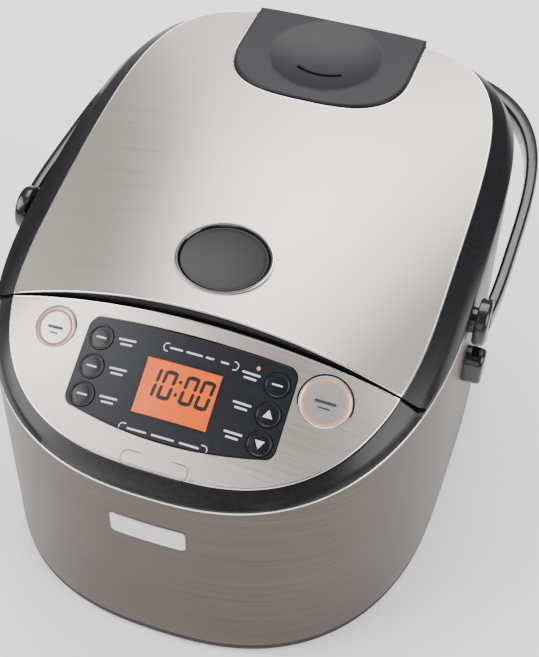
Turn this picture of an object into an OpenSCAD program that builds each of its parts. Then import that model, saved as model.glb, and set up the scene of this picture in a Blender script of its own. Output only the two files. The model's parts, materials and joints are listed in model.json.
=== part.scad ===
// Induction rice cooker with a hinged lid, a carry handle and a removable inner pan.
// +Z is up, the front faces -Y, and the origin is on the table, below the middle of the whole object.

/* [Pan] */
// Radius of the pan's rim flange
pan_rim_r = 116; // [98:1:140]
// Height of the pan from its underside to its rim
pan_depth = 126; // [105:1:150]
// Thickness of the pan's wall
pan_wall = 2; // [1.5:0.1:3]
// Width of the flange that hangs the pan
pan_flange = 5; // [4:0.5:8]
// Radius of the pan's lower corner
pan_corner_r = 26; // [16:1:34]

/* [Body] */
// Space from the pan's rim to the side of the body
side_space = 28; // [26:1:36]
// Space from the pan's rim to the seam in front of the lid
seam_space = 11.2; // [11:0.1:16]
// Space from the pan's rim to the rear of the body
rear_space = 34.1; // [33:0.1:44]
// Depth of the sloping control panel, seen from above
panel_depth = 87.5; // [82:0.5:105]
// How far the widest line of the body lies in front of the pan's axis
widest_ahead = 50.6; // [40:0.1:60]
// Thickness of the steel shell
shell_wall = 0.8; // [0.6:0.1:1.2]
// Height of the pan's underside above the table
pan_floor_z = 48; // [44:1:60]
// Height of the rubber feet
foot_h = 4; // [3:0.5:8]
// Height of the steel shell's lower edge above the table
shell_bottom_z = 10; // [10:1:14]

/* [Lid] */
// Width of the black band beside the lid's skin
band_side = 16.6; // [12:0.1:20]
// Width of the black band in front of the panel's skin
band_front = 11.5; // [9:0.1:16]
// Width of the black band behind the lid's skin
band_rear = 7.5; // [6:0.1:9]
// How far the lid opens, in degrees
lid_open = 80; // [45:1:80]
// Thickness of the lid's skin
skin_wall = 0.8; // [0.6:0.1:1.5]
// Half of the gap between the lid and the control panel
seam_gap = 0.7; // [0.6:0.1:1.5]
// Height of the crown across the lid at the seam
lid_crown = 25.3; // [20:0.1:27]

/* [Lid button and steam vent] */
// Half of the lid button's width
button_half_w = 27; // [20:0.5:34]
// Half of the lid button's depth
button_half_d = 24; // [18:0.5:26]
// Travel of the lid button
button_travel = 4; // [2:0.5:5]
// Half of the steam vent cap's width
vent_half_w = 60; // [48:1:70]
// From the middle of the cap's dish to its front edge
vent_front = 50; // [40:1:56]
// Radius of the dish in the cap
dish_r = 38; // [30:1:45]
// Depth of the dish
dish_depth = 4.6; // [3:0.1:5]

/* [Controls] */
// Slope of the control panel in degrees
panel_slope = 32.3; // [28:0.1:36]
// Half of the display window's width
window_half_w = 23.2; // [18:0.1:27]
// Half of the display window's depth, seen from above
window_half_d = 14.5; // [11:0.1:17]
// Half of the black inlay's width
inlay_half_w = 64; // [60:0.5:68]
// Radius of a small round key
key_r = 7.6; // [5:0.1:8]
// Radius of the cancel key
cancel_r = 12.7; // [9:0.1:14]
// Radius of the start key
start_r = 15.4; // [11:0.1:16]
// Travel of every key
key_travel = 0.8; // [0.4:0.1:1.2]

/* [Handle] */
// Gap between the body's side and the inside of the handle
handle_gap = 3.2; // [2:0.1:8]
// Thickness of the handle's arms
handle_wall = 8; // [6:0.5:12]
// Height of the handle's strap
handle_h = 14; // [10:0.5:20]
// Gap between the body's rear and the inside of the handle
handle_reach = 30.5; // [24:0.5:45]
// Depth of the handle's rear bar
handle_bar = 12.5; // [10:0.5:16]
// Radius of the handle's hubs
hub_r = 14.5; // [12:0.5:18]
// Radius of the handle's pivot pins
pivot_r = 5; // [3.5:0.1:6]
// How far the handle swings up, in degrees
handle_swing = 95; // [60:1:110]

/* [Fits] */
// Radial clearance of a running fit
running_fit = 0.05; // [0.02:0.01:0.1]
// Gap beside a key or a button
key_gap = 0.3; // [0.2:0.05:0.5]
// Gap between two pieces that only lie near each other
near_gap = 0.3; // [0.2:0.05:0.6]

/* [Hidden] */
$fn = 72;

// Plan positions, all worked out from the pan's axis.
recess_gap = 5;
recess_r = pan_rim_r + recess_gap;
body_half_w = pan_rim_r + side_space;
front_reach = pan_rim_r + seam_space + panel_depth;
rear_reach = pan_rim_r + rear_space;
handle_rear_reach = rear_reach + handle_reach + handle_bar;
pan_y = (front_reach - handle_rear_reach) / 2;
seam_y = pan_y - pan_rim_r - seam_space;
widest_y = pan_y - widest_ahead;
body_front_y = pan_y - front_reach;
body_rear_y = pan_y + rear_reach;
half_front = widest_y - body_front_y;
half_rear = body_rear_y - widest_y;
big = 400;

// Roundness of the body's outline: exponents of the two half ovals that form it.
front_power = 2.48;
rear_power = 4.2;
skin_front_more = 0.4;
skin_rear_more = 0.12;
outline_steps = 72;
arc_steps = 60;
seam_steps = 12;

// Heights. rim_z is the pan's rim, and every upper surface is measured from it.
rim_z = pan_floor_z + pan_depth;
flange_t = 2;
tray_floor = 2.5;
tray_top_z = shell_bottom_z + 8;
steel_seam_drop = 3.05;
steel_rise = 0.26;
steel_bend = 0.00042;
split_gap_front = 2;
split_gap_rear = 9.7;
lid_seam_h = 36.2;
lid_rise = 0.1927;
lid_bend = 0.000334;
crown_fade = 6.02e-6;
panel_seam_h = 28.6;
panel_rise = tan(panel_slope);
panel_crown = 0.001309;
panel_crown_fade = 1.563e-5;
cover_wall = 1.5;
frame_wall = 2.4;
crease_share = 0.35;
crease_height = 0.6;

function mix(a, b, s) = a + (b - a) * s;

// Height of the steel shell's upper edge at y.
function steel_z(y) = let (u = y - seam_y) rim_z - steel_seam_drop + steel_rise * u - steel_bend * u * u;

// Height of the surface on which the lid closes.
function split_z(y) =
    steel_z(y) + mix(split_gap_front, split_gap_rear, max(0, y - seam_y) / (body_rear_y - seam_y));

// Height of the lid's skin at x, y. The crown fades from the seam to the rear.
lid_edge_x = pan_rim_r + 2.7;
function lid_bow(u) = lid_crown / (lid_edge_x * lid_edge_x) - crown_fade * u;
function lid_z(x, y) =
    let (u = y - seam_y) rim_z + lid_seam_h + lid_rise * u - lid_bend * u * u - lid_bow(u) * x * x;

// Height of the control panel's skin at x, y.
function panel_bow(y) = max(0, panel_crown + panel_crown_fade * (y - seam_y));
function panel_z(x, y) =
    rim_z + panel_seam_h + panel_rise * (y - seam_y) - panel_bow(y) * x * x;

// Outline of the body. share 0 is the outer edge and 1 is the edge of the skins.
function half_w_at(share, inset) = body_half_w - share * band_side - inset;
function front_at(share, inset) = half_front - share * band_front - inset;
function rear_at(share, inset) = half_rear - share * band_rear - inset;
function oval_r(angle, a, b, n) =
    pow(pow(abs(cos(angle)) / a, n) + pow(abs(sin(angle)) / b, n), -1 / n);
function edge_point(share, inset, angle) =
    let (
        ahead = sin(angle) < 0,
        b = ahead ? front_at(share, inset) : rear_at(share, inset),
        n = ahead ? front_power + skin_front_more * share : rear_power + skin_rear_more * share,
        r = oval_r(angle, half_w_at(share, inset), b, n)
    )
    [r * cos(angle), widest_y + r * sin(angle)];
function outline(share, inset) =
    [for (i = [0:outline_steps - 1]) edge_point(share, inset, 360 * i / outline_steps)];

// Half of the outline's width where it crosses y, ahead of the widest line or behind it.
function half_w_front(share, inset, y) =
    let (n = front_power + skin_front_more * share)
    half_w_at(share, inset) * pow(1 - pow((widest_y - y) / front_at(share, inset), n), 1 / n);
function half_w_rear(share, inset, y) =
    let (n = rear_power + skin_rear_more * share)
    half_w_at(share, inset) * pow(1 - pow((y - widest_y) / rear_at(share, inset), n), 1 / n);

// Closed rings around the lid (behind the line y) and around the panel (in front of it).
function lid_ring(share, inset, y) =
    let (x = half_w_front(share, inset, y), a = atan2(y - widest_y, x))
    concat(
        [for (i = [0:arc_steps]) edge_point(share, inset, mix(a, 180 - a, i / arc_steps))],
        [for (i = [1:seam_steps - 1]) [mix(-x, x, i / seam_steps), y]]
    );
function panel_ring(share, inset, y) =
    let (x = half_w_front(share, inset, y), a = atan2(y - widest_y, x))
    concat(
        [for (i = [0:arc_steps]) edge_point(share, inset, mix(180 - a, 360 + a, i / arc_steps))],
        [for (i = [1:seam_steps - 1]) [mix(x, -x, i / seam_steps), y]]
    );

// Rows of points over a crowned surface, drop below it, drawn in towards a middle point.
function lid_row(ring, scale_in, drop) =
    [
        for (p = ring)
            let (x = scale_in * p[0], y = mix(lid_mid_y, p[1], scale_in))
            [x, y, lid_z(x, y) - drop]
    ];
function panel_row(ring, scale_in, drop) =
    [
        for (p = ring)
            let (x = scale_in * p[0], y = mix(panel_mid_y, p[1], scale_in))
            [x, y, panel_z(x, y) - drop]
    ];
lid_mid_y = pan_y;
panel_mid_y = seam_y - 0.45 * panel_depth;
ring_shares = [0.3, 0.6, 0.85, 1];

// A closed solid through rows of equally many points, with a middle point at each end. The
// lower half splits its quads the other way, so that one sheet's underside matches the next one's top.
module solid_of_rows(rows, first, last) {
    n = len(rows[0]);
    m = len(rows);
    points = concat([for (row = rows) each row], [first, last]);
    sides = [
        for (j = [0:m - 2], i = [0:n - 1])
            let (k = (i + 1) % n, a = j * n + i, b = j * n + k, c = (j + 1) * n + k, d = (j + 1) * n + i)
            each j < m / 2 - 1 ? [[a, b, c], [a, c, d]] : [[a, b, d], [b, c, d]]
    ];
    caps = [
        for (i = [0:n - 1])
            let (k = (i + 1) % n)
            each [[m * n, k, i], [m * n + 1, (m - 1) * n + i, (m - 1) * n + k]]
    ];
    polyhedron(points, concat(sides, caps), convexity = 8);
}

// An upright prism on the body's outline.
module body_prism(inset, low, high) {
    translate([0, 0, low]) linear_extrude(high - low) polygon(outline(0, inset));
}

// Everything between two side-view curves, across the whole width.
module side_slab(points) {
    rotate([90, 0, 90]) linear_extrude(big, center = true) polygon(points);
}
side_steps = 14;
function stations(from, to) = [for (i = [0:side_steps]) mix(from, to, i / side_steps)];
function reversed(list) = [for (i = [len(list) - 1:-1:0]) list[i]];

// A cylinder along X, centred on x = 0.
module rod(r, length, y, z) {
    translate([0, y, z]) rotate([0, 90, 0]) cylinder(r = r, h = length, center = true);
}

// The same thing on both sides.
module both_sides() {
    children();
    mirror([1, 0, 0]) children();
}

// A flat ring.
module ring(outer, inner, low, high) {
    translate([0, 0, low]) difference() {
        cylinder(r = outer, h = high - low);
        translate([0, 0, -1]) cylinder(r = inner, h = high - low + 2);
    }
}

// A coil spring standing on z = low.
module coil_spring(r, wire_r, low, high, turns) {
    sides = 6;
    around = 12;
    count = turns * around;
    rows = [
        for (i = [0:count])
            let (a = 360 * i / around, z = mix(low + wire_r, high - wire_r, i / count))
            [for (j = [0:sides - 1])
                let (b = -360 * j / sides, d = r + wire_r * cos(b))
                [d * cos(a), d * sin(a), z + wire_r * sin(b)]]
    ];
    first = [r, 0, low + wire_r];
    last = [r * cos(360 * turns), r * sin(360 * turns), high - wire_r];
    solid_of_rows(rows, first, last);
}

// ---------------------------------------------------------------- base and shell

foot_r = 9;
foot_x = 0.62 * body_half_w;
foot_front_y = seam_y - 30;
foot_rear_y = body_rear_y - 44;
module rubber_feet() color("#202022") {
    for (y = [foot_front_y, foot_rear_y]) both_sides() translate([foot_x, y, 0]) {
        cylinder(r = foot_r, h = foot_h);
    }
}

screw_x = 0.3 * body_half_w;
screw_front_y = body_front_y + 12;
screw_rear_y = body_rear_y - 22;
screw_head_r = 3.2;
module base_screws() color("#8a8a8c") {
    for (y = [screw_front_y, screw_rear_y]) both_sides() translate([screw_x, y, foot_h]) {
        cylinder(r = screw_head_r, h = 1.2);
        cylinder(r = 1.6, h = tray_top_z - foot_h);
    }
}

tray_inset = 1;
tray_wall = 2.4;
fan_size = 60;
fan_x = -45;
fan_y = seam_y - 36;
fan_h = 14;
board_post_r = 3;
power_board_z = 40;
power_board_w = 96;
power_board_d = 50;
power_board_x = 38;
power_board_y = seam_y - 34;
tray_floor_z = foot_h + tray_floor;
module board_corners() {
    for (sx = [-1, 1], sy = [-1, 1]) {
        x = power_board_x + sx * (power_board_w / 2 - 7);
        y = power_board_y + sy * (power_board_d / 2 - 6);
        translate([x, y, 0]) children();
    }
}
module base_tray() color("#1c1c1e") {
    difference() {
        union() {
            body_prism(tray_inset, foot_h, shell_bottom_z);
            body_prism(shell_wall + near_gap, shell_bottom_z, tray_top_z);
        }
        body_prism(shell_wall + near_gap + tray_wall, tray_floor_z, tray_top_z + 1);
        for (y = [screw_front_y, screw_rear_y]) both_sides() translate([screw_x, y, 0]) {
            cylinder(r = 1.6, h = tray_top_z);
            cylinder(r = screw_head_r, h = foot_h + 1.2);
        }
        for (i = [-3:3]) translate([fan_x + 7 * i - 1.75, fan_y - 22, 0]) cube([3.5, 44, big]);
        for (i = [-4:4]) translate([8 * i - 1.75, body_rear_y - 60, 0]) cube([3.5, 26, big]);
    }
    board_corners() translate([0, 0, tray_floor_z]) {
        cylinder(r = board_post_r, h = power_board_z - tray_floor_z);
    }
}

hub_y = widest_y + 2.6;
hub_z = rim_z + 6;
boss_r = 8;
hub_pocket_r = 12.3;
hub_pocket = 12;
outlet_x = -52;
outlet_z = 25;
outlet_w = 22;
outlet_h = 14;
module body_shell() color("#8d867e") {
    difference() {
        intersection() {
            body_prism(0, shell_bottom_z, big);
            side_slab(concat(
                [[-big, 0], [big, 0]],
                [for (y = reversed(stations(body_front_y - 2, body_rear_y + 2))) [y, steel_z(y)]]
            ));
        }
        body_prism(shell_wall, shell_bottom_z - 1, big + 1);
        rod(boss_r + near_gap / 2, big, hub_y, hub_z);
        translate([outlet_x - outlet_w / 2, body_rear_y - 15, outlet_z - outlet_h / 2])
            cube([outlet_w, 30, outlet_h]);
    }
}

// ---------------------------------------------------------------- deck, hinge seat

hinge_y = body_rear_y - 10.1;
hinge_z = split_z(hinge_y) + 0.8;
groove_r = 12.2;
groove_half = half_w_rear(0, 0, hinge_y) + 3;
deck_wall = 2.4;
deck_front_y = seam_y - seam_gap;
deck_inset = shell_wall + near_gap;
flange_depth = 10;
well_r = pan_rim_r - pan_flange + 1.5;
module below_split(drop) {
    side_slab(concat(
        [[-big, 0], [big, 0]],
        [for (y = reversed(stations(deck_front_y - 4, body_rear_y + 4))) [y, split_z(y) - drop]]
    ));
}
module above_steel(drop) {
    side_slab(concat(
        [[big, big], [-big, big]],
        [for (y = stations(deck_front_y - 4, body_rear_y + 4)) [y, steel_z(y) - drop]]
    ));
}
module behind(y) {
    translate([-big, y, 0]) cube([2 * big, big, big]);
}
module body_deck() color("#1b1b1d") {
    difference() {
        union() {
            // Visible collar on the steel, with the plate that closes the top of the body.
            difference() {
                intersection() {
                    body_prism(0, rim_z - 40, big);
                    behind(deck_front_y);
                    above_steel(-skin_seat * 2);
                    below_split(0);
                }
                intersection() {
                    body_prism(deck_wall + 1, rim_z - 41, big);
                    below_split(deck_wall);
                }
            }
            // Flange that drops inside the steel.
            difference() {
                intersection() {
                    body_prism(deck_inset, rim_z - 40, big);
                    behind(deck_front_y);
                    above_steel(flange_depth);
                    below_split(deck_wall / 2);
                }
                body_prism(deck_inset + deck_wall, rim_z - 41, big);
            }
            // Wall around the pan, and the trough that the lid's rear edge turns in.
            intersection() {
                union() {
                    translate([0, pan_y, rim_z - flange_t - 3]) cylinder(r = recess_r + deck_wall, h = 80);
                    rod(groove_r + deck_wall, 2 * (groove_half + deck_wall), hinge_y, hinge_z);
                }
                body_prism(deck_inset, 0, big);
                below_split(deck_wall / 2);
            }
        }
        translate([0, pan_y, rim_z - flange_t]) cylinder(r = recess_r, h = big);
        translate([0, pan_y, 0]) cylinder(r = well_r, h = big);
        rod(groove_r, 2 * groove_half, hinge_y, hinge_z);
        both_sides() translate([body_half_w - hub_pocket, hub_y, hub_z]) rotate([0, 90, 0]) {
            cylinder(r = hub_pocket_r, h = hub_pocket - shell_wall);
        }
    }
}

knuckle_r = 5;
hinge_pin_r = 2.4;
lug_x = 34;
lug_w = 10;
arm_x = lug_x + lug_w + 0.5;
arm_w = 10;
module hinge_bracket() color("#9a9a9c") {
    both_sides() translate([lug_x, 0, 0]) difference() {
        union() {
            translate([0, hinge_y, hinge_z]) rotate([0, 90, 0]) cylinder(r = knuckle_r, h = lug_w);
            intersection() {
                translate([0, hinge_y - 8, hinge_z - groove_r]) cube([lug_w, 8, groove_r]);
                rod(groove_r - 0.1, big, hinge_y, hinge_z);
            }
        }
        rod(hinge_pin_r + running_fit, big, hinge_y, hinge_z);
    }
}
module hinge_pin() color("#b8b8ba") {
    rod(hinge_pin_r, 2 * (arm_x + arm_w + 2), hinge_y, hinge_z);
}
module lid_spring() color("#a8a8aa") {
    both_sides() translate([3, hinge_y, hinge_z]) rotate([0, 90, 0]) {
        coil_spring(3.9, 0.8, 0, lug_x - 5, 8);
    }
}
module lid_hinge_arms() color("#1b1b1d") {
    both_sides() translate([arm_x, 0, 0]) difference() {
        union() {
            translate([0, hinge_y, hinge_z]) rotate([0, 90, 0]) cylinder(r = knuckle_r, h = arm_w);
            translate([0, hinge_y - knuckle_r, hinge_z])
                cube([arm_w, 2 * knuckle_r, tub_floor_z - tub_wall - hinge_z]);
        }
        rod(hinge_pin_r + running_fit, big, hinge_y, hinge_z);
    }
}

// ---------------------------------------------------------------- control panel

bulkhead_wall = 1.6;
module control_bezel() color("#19191b") {
    y = seam_y - seam_gap;
    top = panel_ring(1, 0, y);
    crease = panel_ring(crease_share, 0, y);
    outer = panel_ring(0, 0, y);
    inside = panel_ring(0, deck_inset, y);
    lining = panel_ring(0, deck_inset + deck_wall, y - bulkhead_wall);
    under = panel_ring(1, 0, y - bulkhead_wall);
    drop = cover_wall + frame_wall;
    difference() {
        solid_of_rows([
            for (s = ring_shares) panel_row(top, s, cover_wall + skin_seat),
            [for (p = crease) [p[0], p[1], mix(steel_z(p[1]), panel_z(p[0], p[1]), crease_height)]],
            [for (p = outer) [p[0], p[1], steel_z(p[1]) + 0.1]],
            [for (p = inside) [p[0], p[1], steel_z(p[1])]],
            [for (p = inside) [p[0], p[1], steel_z(p[1]) - flange_depth]],
            [for (p = lining) [p[0], p[1], steel_z(p[1]) - flange_depth]],
            for (s = reversed(ring_shares)) panel_row(under, s, drop)
        ], [0, panel_mid_y, panel_z(0, panel_mid_y) - cover_wall - skin_seat],
            [0, panel_mid_y, panel_z(0, panel_mid_y) - drop]);
        inlay_prism(-inlay_ledge);
        for (k = concat(big_keys, small_keys)) key_hole(k);
        keeper_block(near_gap / 2, 8);
    }
}

module panel_sheet(wall) {
    ring = panel_ring(1, 0, seam_y - seam_gap);
    solid_of_rows([
        for (s = ring_shares) panel_row(ring, s, 0),
        for (s = reversed(ring_shares)) panel_row(ring, s, wall)
    ], [0, panel_mid_y, panel_z(0, panel_mid_y)], [0, panel_mid_y, panel_z(0, panel_mid_y) - wall]);
}

// The black inlay: straight sides and top, a bowed lower edge and rounded corners.
inlay_top_y = seam_y - 8.2;
inlay_side_y = seam_y - 55.4;
inlay_bow = 6.6;
inlay_corner = 6;
inlay_ledge = 2.5;
inlay_fit = 0.15;
module inlay_shape(grow) {
    w = inlay_half_w + grow;
    c = inlay_corner;
    corner = [for (i = [0:6]) [c * cos(15 * i), c * sin(15 * i)]];
    low_y = inlay_side_y - grow;
    bottom = [for (i = [-8:8]) let (s = i / 8) [s * (w - c), low_y - inlay_bow * (1 - s * s)]];
    polygon(concat(
        [for (p = corner) [w - c + p[0], inlay_top_y + grow - c + p[1]]],
        [for (p = reversed(corner)) [c - w - p[0], inlay_top_y + grow - c + p[1]]],
        [for (p = corner) [c - w - p[0], inlay_side_y - grow + c - p[1]]],
        bottom,
        [for (p = reversed(corner)) [w - c + p[0], inlay_side_y - grow + c - p[1]]]
    ));
}
module inlay_prism(grow) {
    linear_extrude(big) inlay_shape(grow);
}

window_y = seam_y - 37;
module window_prism(grow) {
    translate([-window_half_w - grow, window_y - window_half_d - grow, 0])
        cube([2 * (window_half_w + grow), 2 * (window_half_d + grow), big]);
}

// Keys: [x, distance in front of the seam, radius].
small_x = 54;
row_1 = 18.8;
row_2 = 34;
row_3 = 48.8;
cancel_key = [-84.5, 17.5, cancel_r];
start_key = [82.5, 18.6, start_r];
menu_key = [-small_x, row_1, key_r];
warm_key = [-small_x, row_2, key_r];
extended_key = [-small_x, row_3, key_r];
timer_key = [small_x, row_1, key_r];
up_key = [small_x, row_2, key_r];
down_key = [small_x, row_3, key_r];
big_keys = [cancel_key, start_key];
small_keys = [menu_key, warm_key, extended_key, timer_key, up_key, down_key];

function key_y(k) = seam_y - k[1];
function key_z(k) = panel_z(k[0], key_y(k));
function key_lean(k) = atan(2 * panel_bow(key_y(k)) * k[0] * cos(panel_slope));
module at_key(k) {
    translate([k[0], key_y(k), key_z(k)]) rotate([panel_slope, 0, 0]) rotate([0, key_lean(k), 0])
        children();
}

// Depth below the panel's own plane, at right angles to it.
board_drop = 23;
switch_h = 2.5;
key_proud = 0.5;
key_flange_w = 0.8;
function key_sunk(k) = panel_bow(key_y(k)) * k[0] * k[0] * cos(panel_slope);
function stem_length(k) =
    (board_drop - switch_h - key_travel - near_gap - key_sunk(k)) / cos(key_lean(k));
key_head_low = cover_wall + frame_wall + near_gap + key_travel;
module key_hole(k) {
    low = key_head_low + key_travel + near_gap;
    at_key(k) translate([0, 0, -low]) cylinder(r = k[2] + key_gap, h = low + 5);
}
module key_solid(k) {
    head_low = key_head_low;
    flange = k[2] < cancel_r ? key_flange_w : -2;
    at_key(k) {
        translate([0, 0, -head_low]) cylinder(r = k[2], h = head_low + key_proud);
        translate([0, 0, -head_low - 1.2]) cylinder(r = k[2] + flange, h = 1.2);
        translate([0, 0, -stem_length(k)]) cylinder(r = 2.5, h = stem_length(k) - head_low);
    }
}
module key_cancel() color("#cfcac4") key_solid(cancel_key);
module key_start() color("#cfcac4") key_solid(start_key);
module key_menu() color("#26282c") key_solid(menu_key);
module key_warm() color("#26282c") key_solid(warm_key);
module key_extended() color("#26282c") key_solid(extended_key);
module key_timer() color("#26282c") key_solid(timer_key);
module key_up() color("#26282c") key_solid(up_key);
module key_down() color("#26282c") key_solid(down_key);

module control_cover() color("#cfcac4") {
    difference() {
        panel_sheet(cover_wall);
        inlay_prism(0);
        for (k = big_keys) key_hole(k);
    }
}
module display_inlay() color("#1d2026") {
    difference() {
        intersection() {
            panel_sheet(cover_wall);
            inlay_prism(-inlay_fit);
        }
        window_prism(0.1);
        for (k = small_keys) key_hole(k);
    }
}
module display_window() color("#e8863a") {
    intersection() {
        panel_sheet(cover_wall);
        window_prism(0);
    }
}

// The panel's own frame: x across, y up the slope, z out of it.
module on_panel() {
    translate([0, seam_y, rim_z + panel_seam_h]) rotate([panel_slope, 0, 0]) children();
}
module display_panel() color("#b8bcc0") {
    v = (window_y - seam_y) / cos(panel_slope);
    on_panel() translate([-window_half_w - 5, v - window_half_d - 7, -10]) {
        cube([2 * window_half_w + 10, 2 * window_half_d + 14, 4]);
    }
}
board_half_w = 96;
board_top_v = -21;
board_low_v = -73;
board_t = 1.6;
module control_board() color("#2f6b46") {
    on_panel() {
        translate([-board_half_w, board_low_v, -board_drop - board_t])
            cube([2 * board_half_w, board_top_v - board_low_v, board_t]);
        v = (window_y - seam_y) / cos(panel_slope);
        for (sx = [-1, 1], sy = [-1, 1]) {
            translate([sx * (window_half_w + 1), v + sy * (window_half_d + 3), -board_drop])
                cylinder(r = 2.5, h = board_drop - 10);
        }
        translate([-14, board_low_v + 2, -board_drop]) cube([28, 9, 4]);
    }
}
module tact_switches() color("#3a3a3c") {
    for (k = concat(big_keys, small_keys)) at_key(k) {
        translate([0, 0, -stem_length(k) - key_travel - near_gap]) rotate([0, -key_lean(k), 0])
            translate([-3, -3, -switch_h]) cube([6, 6, switch_h - 0.1]);
    }
}

// ---------------------------------------------------------------- pan, well and heating

pan_outer_r = pan_rim_r - pan_flange;
module pan_side(outer, floor_z, top_z, corner) {
    polygon(concat(
        [[0, top_z], [0, floor_z]],
        [for (i = [0:8]) [outer - corner + corner * sin(11.25 * i), floor_z + corner - corner * cos(11.25 * i)]],
        [[outer, top_z]]
    ));
}
module inner_pan() color("#4a4a4c") {
    translate([0, pan_y, 0]) rotate_extrude() difference() {
        union() {
            pan_side(pan_outer_r, pan_floor_z, rim_z, pan_corner_r);
            translate([0, rim_z - flange_t]) square([pan_rim_r, flange_t]);
        }
        pan_side(pan_outer_r - pan_wall, pan_floor_z + pan_wall, rim_z + 1, pan_corner_r - pan_wall);
    }
}
liner_low_z = pan_floor_z + pan_corner_r + 4;
module well_liner() color("#c8c8ca") {
    translate([0, pan_y, 0]) ring(well_r + 1.2, well_r, liner_low_z, rim_z - flange_t - 3);
}
bowl_gap = 3;
bowl_wall = 2.5;
holder_r = 14;
bowl_leg_r = pan_outer_r - 8;
module coil_bowl() color("#d8d4c8") {
    floor_z = pan_floor_z - bowl_gap;
    inside_r = well_r;
    translate([0, pan_y, 0]) difference() {
        union() {
            rotate_extrude()
                pan_side(inside_r + bowl_wall, floor_z - bowl_wall, liner_low_z, pan_corner_r + bowl_wall);
            for (i = [0:3]) rotate(45 + 90 * i) translate([bowl_leg_r, 0, tray_floor_z]) {
                cylinder(r = 5, h = floor_z);
            }
        }
        rotate_extrude() pan_side(inside_r, floor_z, liner_low_z + 1, pan_corner_r);
        cylinder(r = holder_r, h = big);
    }
}
coil_wire = 4;
module induction_coil() color("#b8733a") {
    top = pan_floor_z - bowl_gap - bowl_wall;
    translate([0, pan_y, 0]) for (i = [0:5]) {
        r = 28 + 9.5 * i;
        ring(r + 4, r, top - coil_wire, top);
    }
}
module ferrite_bars() color("#3c3836") {
    top = pan_floor_z - bowl_gap - bowl_wall - coil_wire;
    translate([0, pan_y, 0]) for (i = [0:7]) rotate(45 * i + 22.5) {
        translate([26, -7, top - 5]) cube([pan_outer_r - 50, 14, 5]);
    }
}
holder_low_z = pan_floor_z - 20;
sensor_r = 11.5;
sensor_travel = 3;
module sensor_holder() color("#d8d4c8") {
    translate([0, pan_y, 0]) {
        ring(holder_r - 0.1, sensor_r + running_fit, holder_low_z + 1.6, pan_floor_z - bowl_gap);
        ring(holder_r - 0.1, 3, holder_low_z, holder_low_z + 1.6);
    }
}
module sensor_spring() color("#b0b0b2") {
    translate([0, pan_y, 0]) coil_spring(8, 0.5, holder_low_z + 1.7, pan_floor_z - 10.1, 4);
}
module sensor_cap() color("#c0c0c2") {
    translate([0, pan_y, pan_floor_z - 10]) difference() {
        cylinder(r = sensor_r, h = 10 - near_gap);
        translate([0, 0, -1]) cylinder(r = sensor_r - 1.5, h = 7);
    }
}

// ---------------------------------------------------------------- electrics in the base

module power_board() color("#2f6b46") {
    translate([power_board_x - power_board_w / 2, power_board_y - power_board_d / 2, power_board_z])
        cube([power_board_w, power_board_d, board_t]);
}
sink_w = 44;
sink_d = 40;
module heat_sink() color("#b9bbbe") {
    translate([power_board_x - sink_w / 2 - 18, power_board_y - sink_d / 2, power_board_z + board_t]) {
        cube([sink_w, sink_d, 4]);
        for (i = [0:6]) translate([i * (sink_w - 2) / 6, 0, 0]) cube([2, sink_d, 24]);
    }
}
module power_parts() color("#3f5f8a") {
    translate([power_board_x, power_board_y, power_board_z + board_t]) {
        for (i = [0:1]) translate([20, -14 + 26 * i, 0]) cylinder(r = 9, h = 24);
        translate([32, -24, 0]) cube([12, 22, 20]);
        translate([32, 4, 0]) cube([12, 18, 16]);
    }
}
fan_bore = 27.5;
rotor_r = 26.5;
shaft_r = 1.5;
module fan_frame() color("#222224") {
    translate([fan_x, fan_y, tray_floor_z]) difference() {
        union() {
            difference() {
                translate([-fan_size / 2, -fan_size / 2, 0]) cube([fan_size, fan_size, fan_h]);
                translate([0, 0, -1]) cylinder(r = fan_bore, h = fan_h + 2);
            }
            cylinder(r = 7, h = 3);
            for (i = [0:2]) rotate(120 * i + 30) translate([0, -1.5, 0]) cube([fan_bore + 1, 3, 1.6]);
        }
        translate([0, 0, -1]) cylinder(r = shaft_r + running_fit, h = 6);
    }
}
module fan_rotor() color("#2c2c2e") {
    translate([fan_x, fan_y, tray_floor_z]) {
        translate([0, 0, 0.5]) cylinder(r = shaft_r, h = 4);
        translate([0, 0, 3.4]) cylinder(r = 11, h = 9.6);
        intersection() {
            translate([0, 0, 3.4]) cylinder(r = rotor_r, h = 9.6);
            for (i = [0:6]) rotate(360 * i / 7) translate([9, 0, 8.2]) rotate([38, 0, 0]) {
                translate([0, -0.6, -9]) cube([rotor_r, 1.2, 18]);
            }
        }
    }
}
reel_x = outlet_x;
reel_z = 78;
reel_r = 34;
reel_w = 22;
reel_y = pan_y + well_r + bowl_wall + 3.5;
module reel_place() {
    translate([reel_x, reel_y, reel_z]) rotate([-90, 0, 0]) children();
}
module cord_reel_case() color("#e0dcd0") {
    reel_place() {
        difference() {
            cylinder(r = reel_r, h = reel_w);
            translate([0, 0, 1.6]) cylinder(r = reel_r - 1.6, h = reel_w);
            translate([-9, reel_r - 12, 4]) cube([18, 20, reel_w - 8]);
        }
        cylinder(r = 3, h = reel_w);
    }
}
module cord_reel_drum() color("#c9c4b6") {
    reel_place() difference() {
        union() {
            translate([0, 0, 2.2]) cylinder(r = reel_r - 2.2, h = 1.4);
            translate([0, 0, reel_w - 3]) cylinder(r = reel_r - 2.2, h = 1.4);
            translate([0, 0, 2.2]) cylinder(r = 13, h = reel_w - 3.8);
        }
        translate([0, 0, -1]) cylinder(r = 3 + running_fit, h = reel_w + 2);
    }
}
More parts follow.
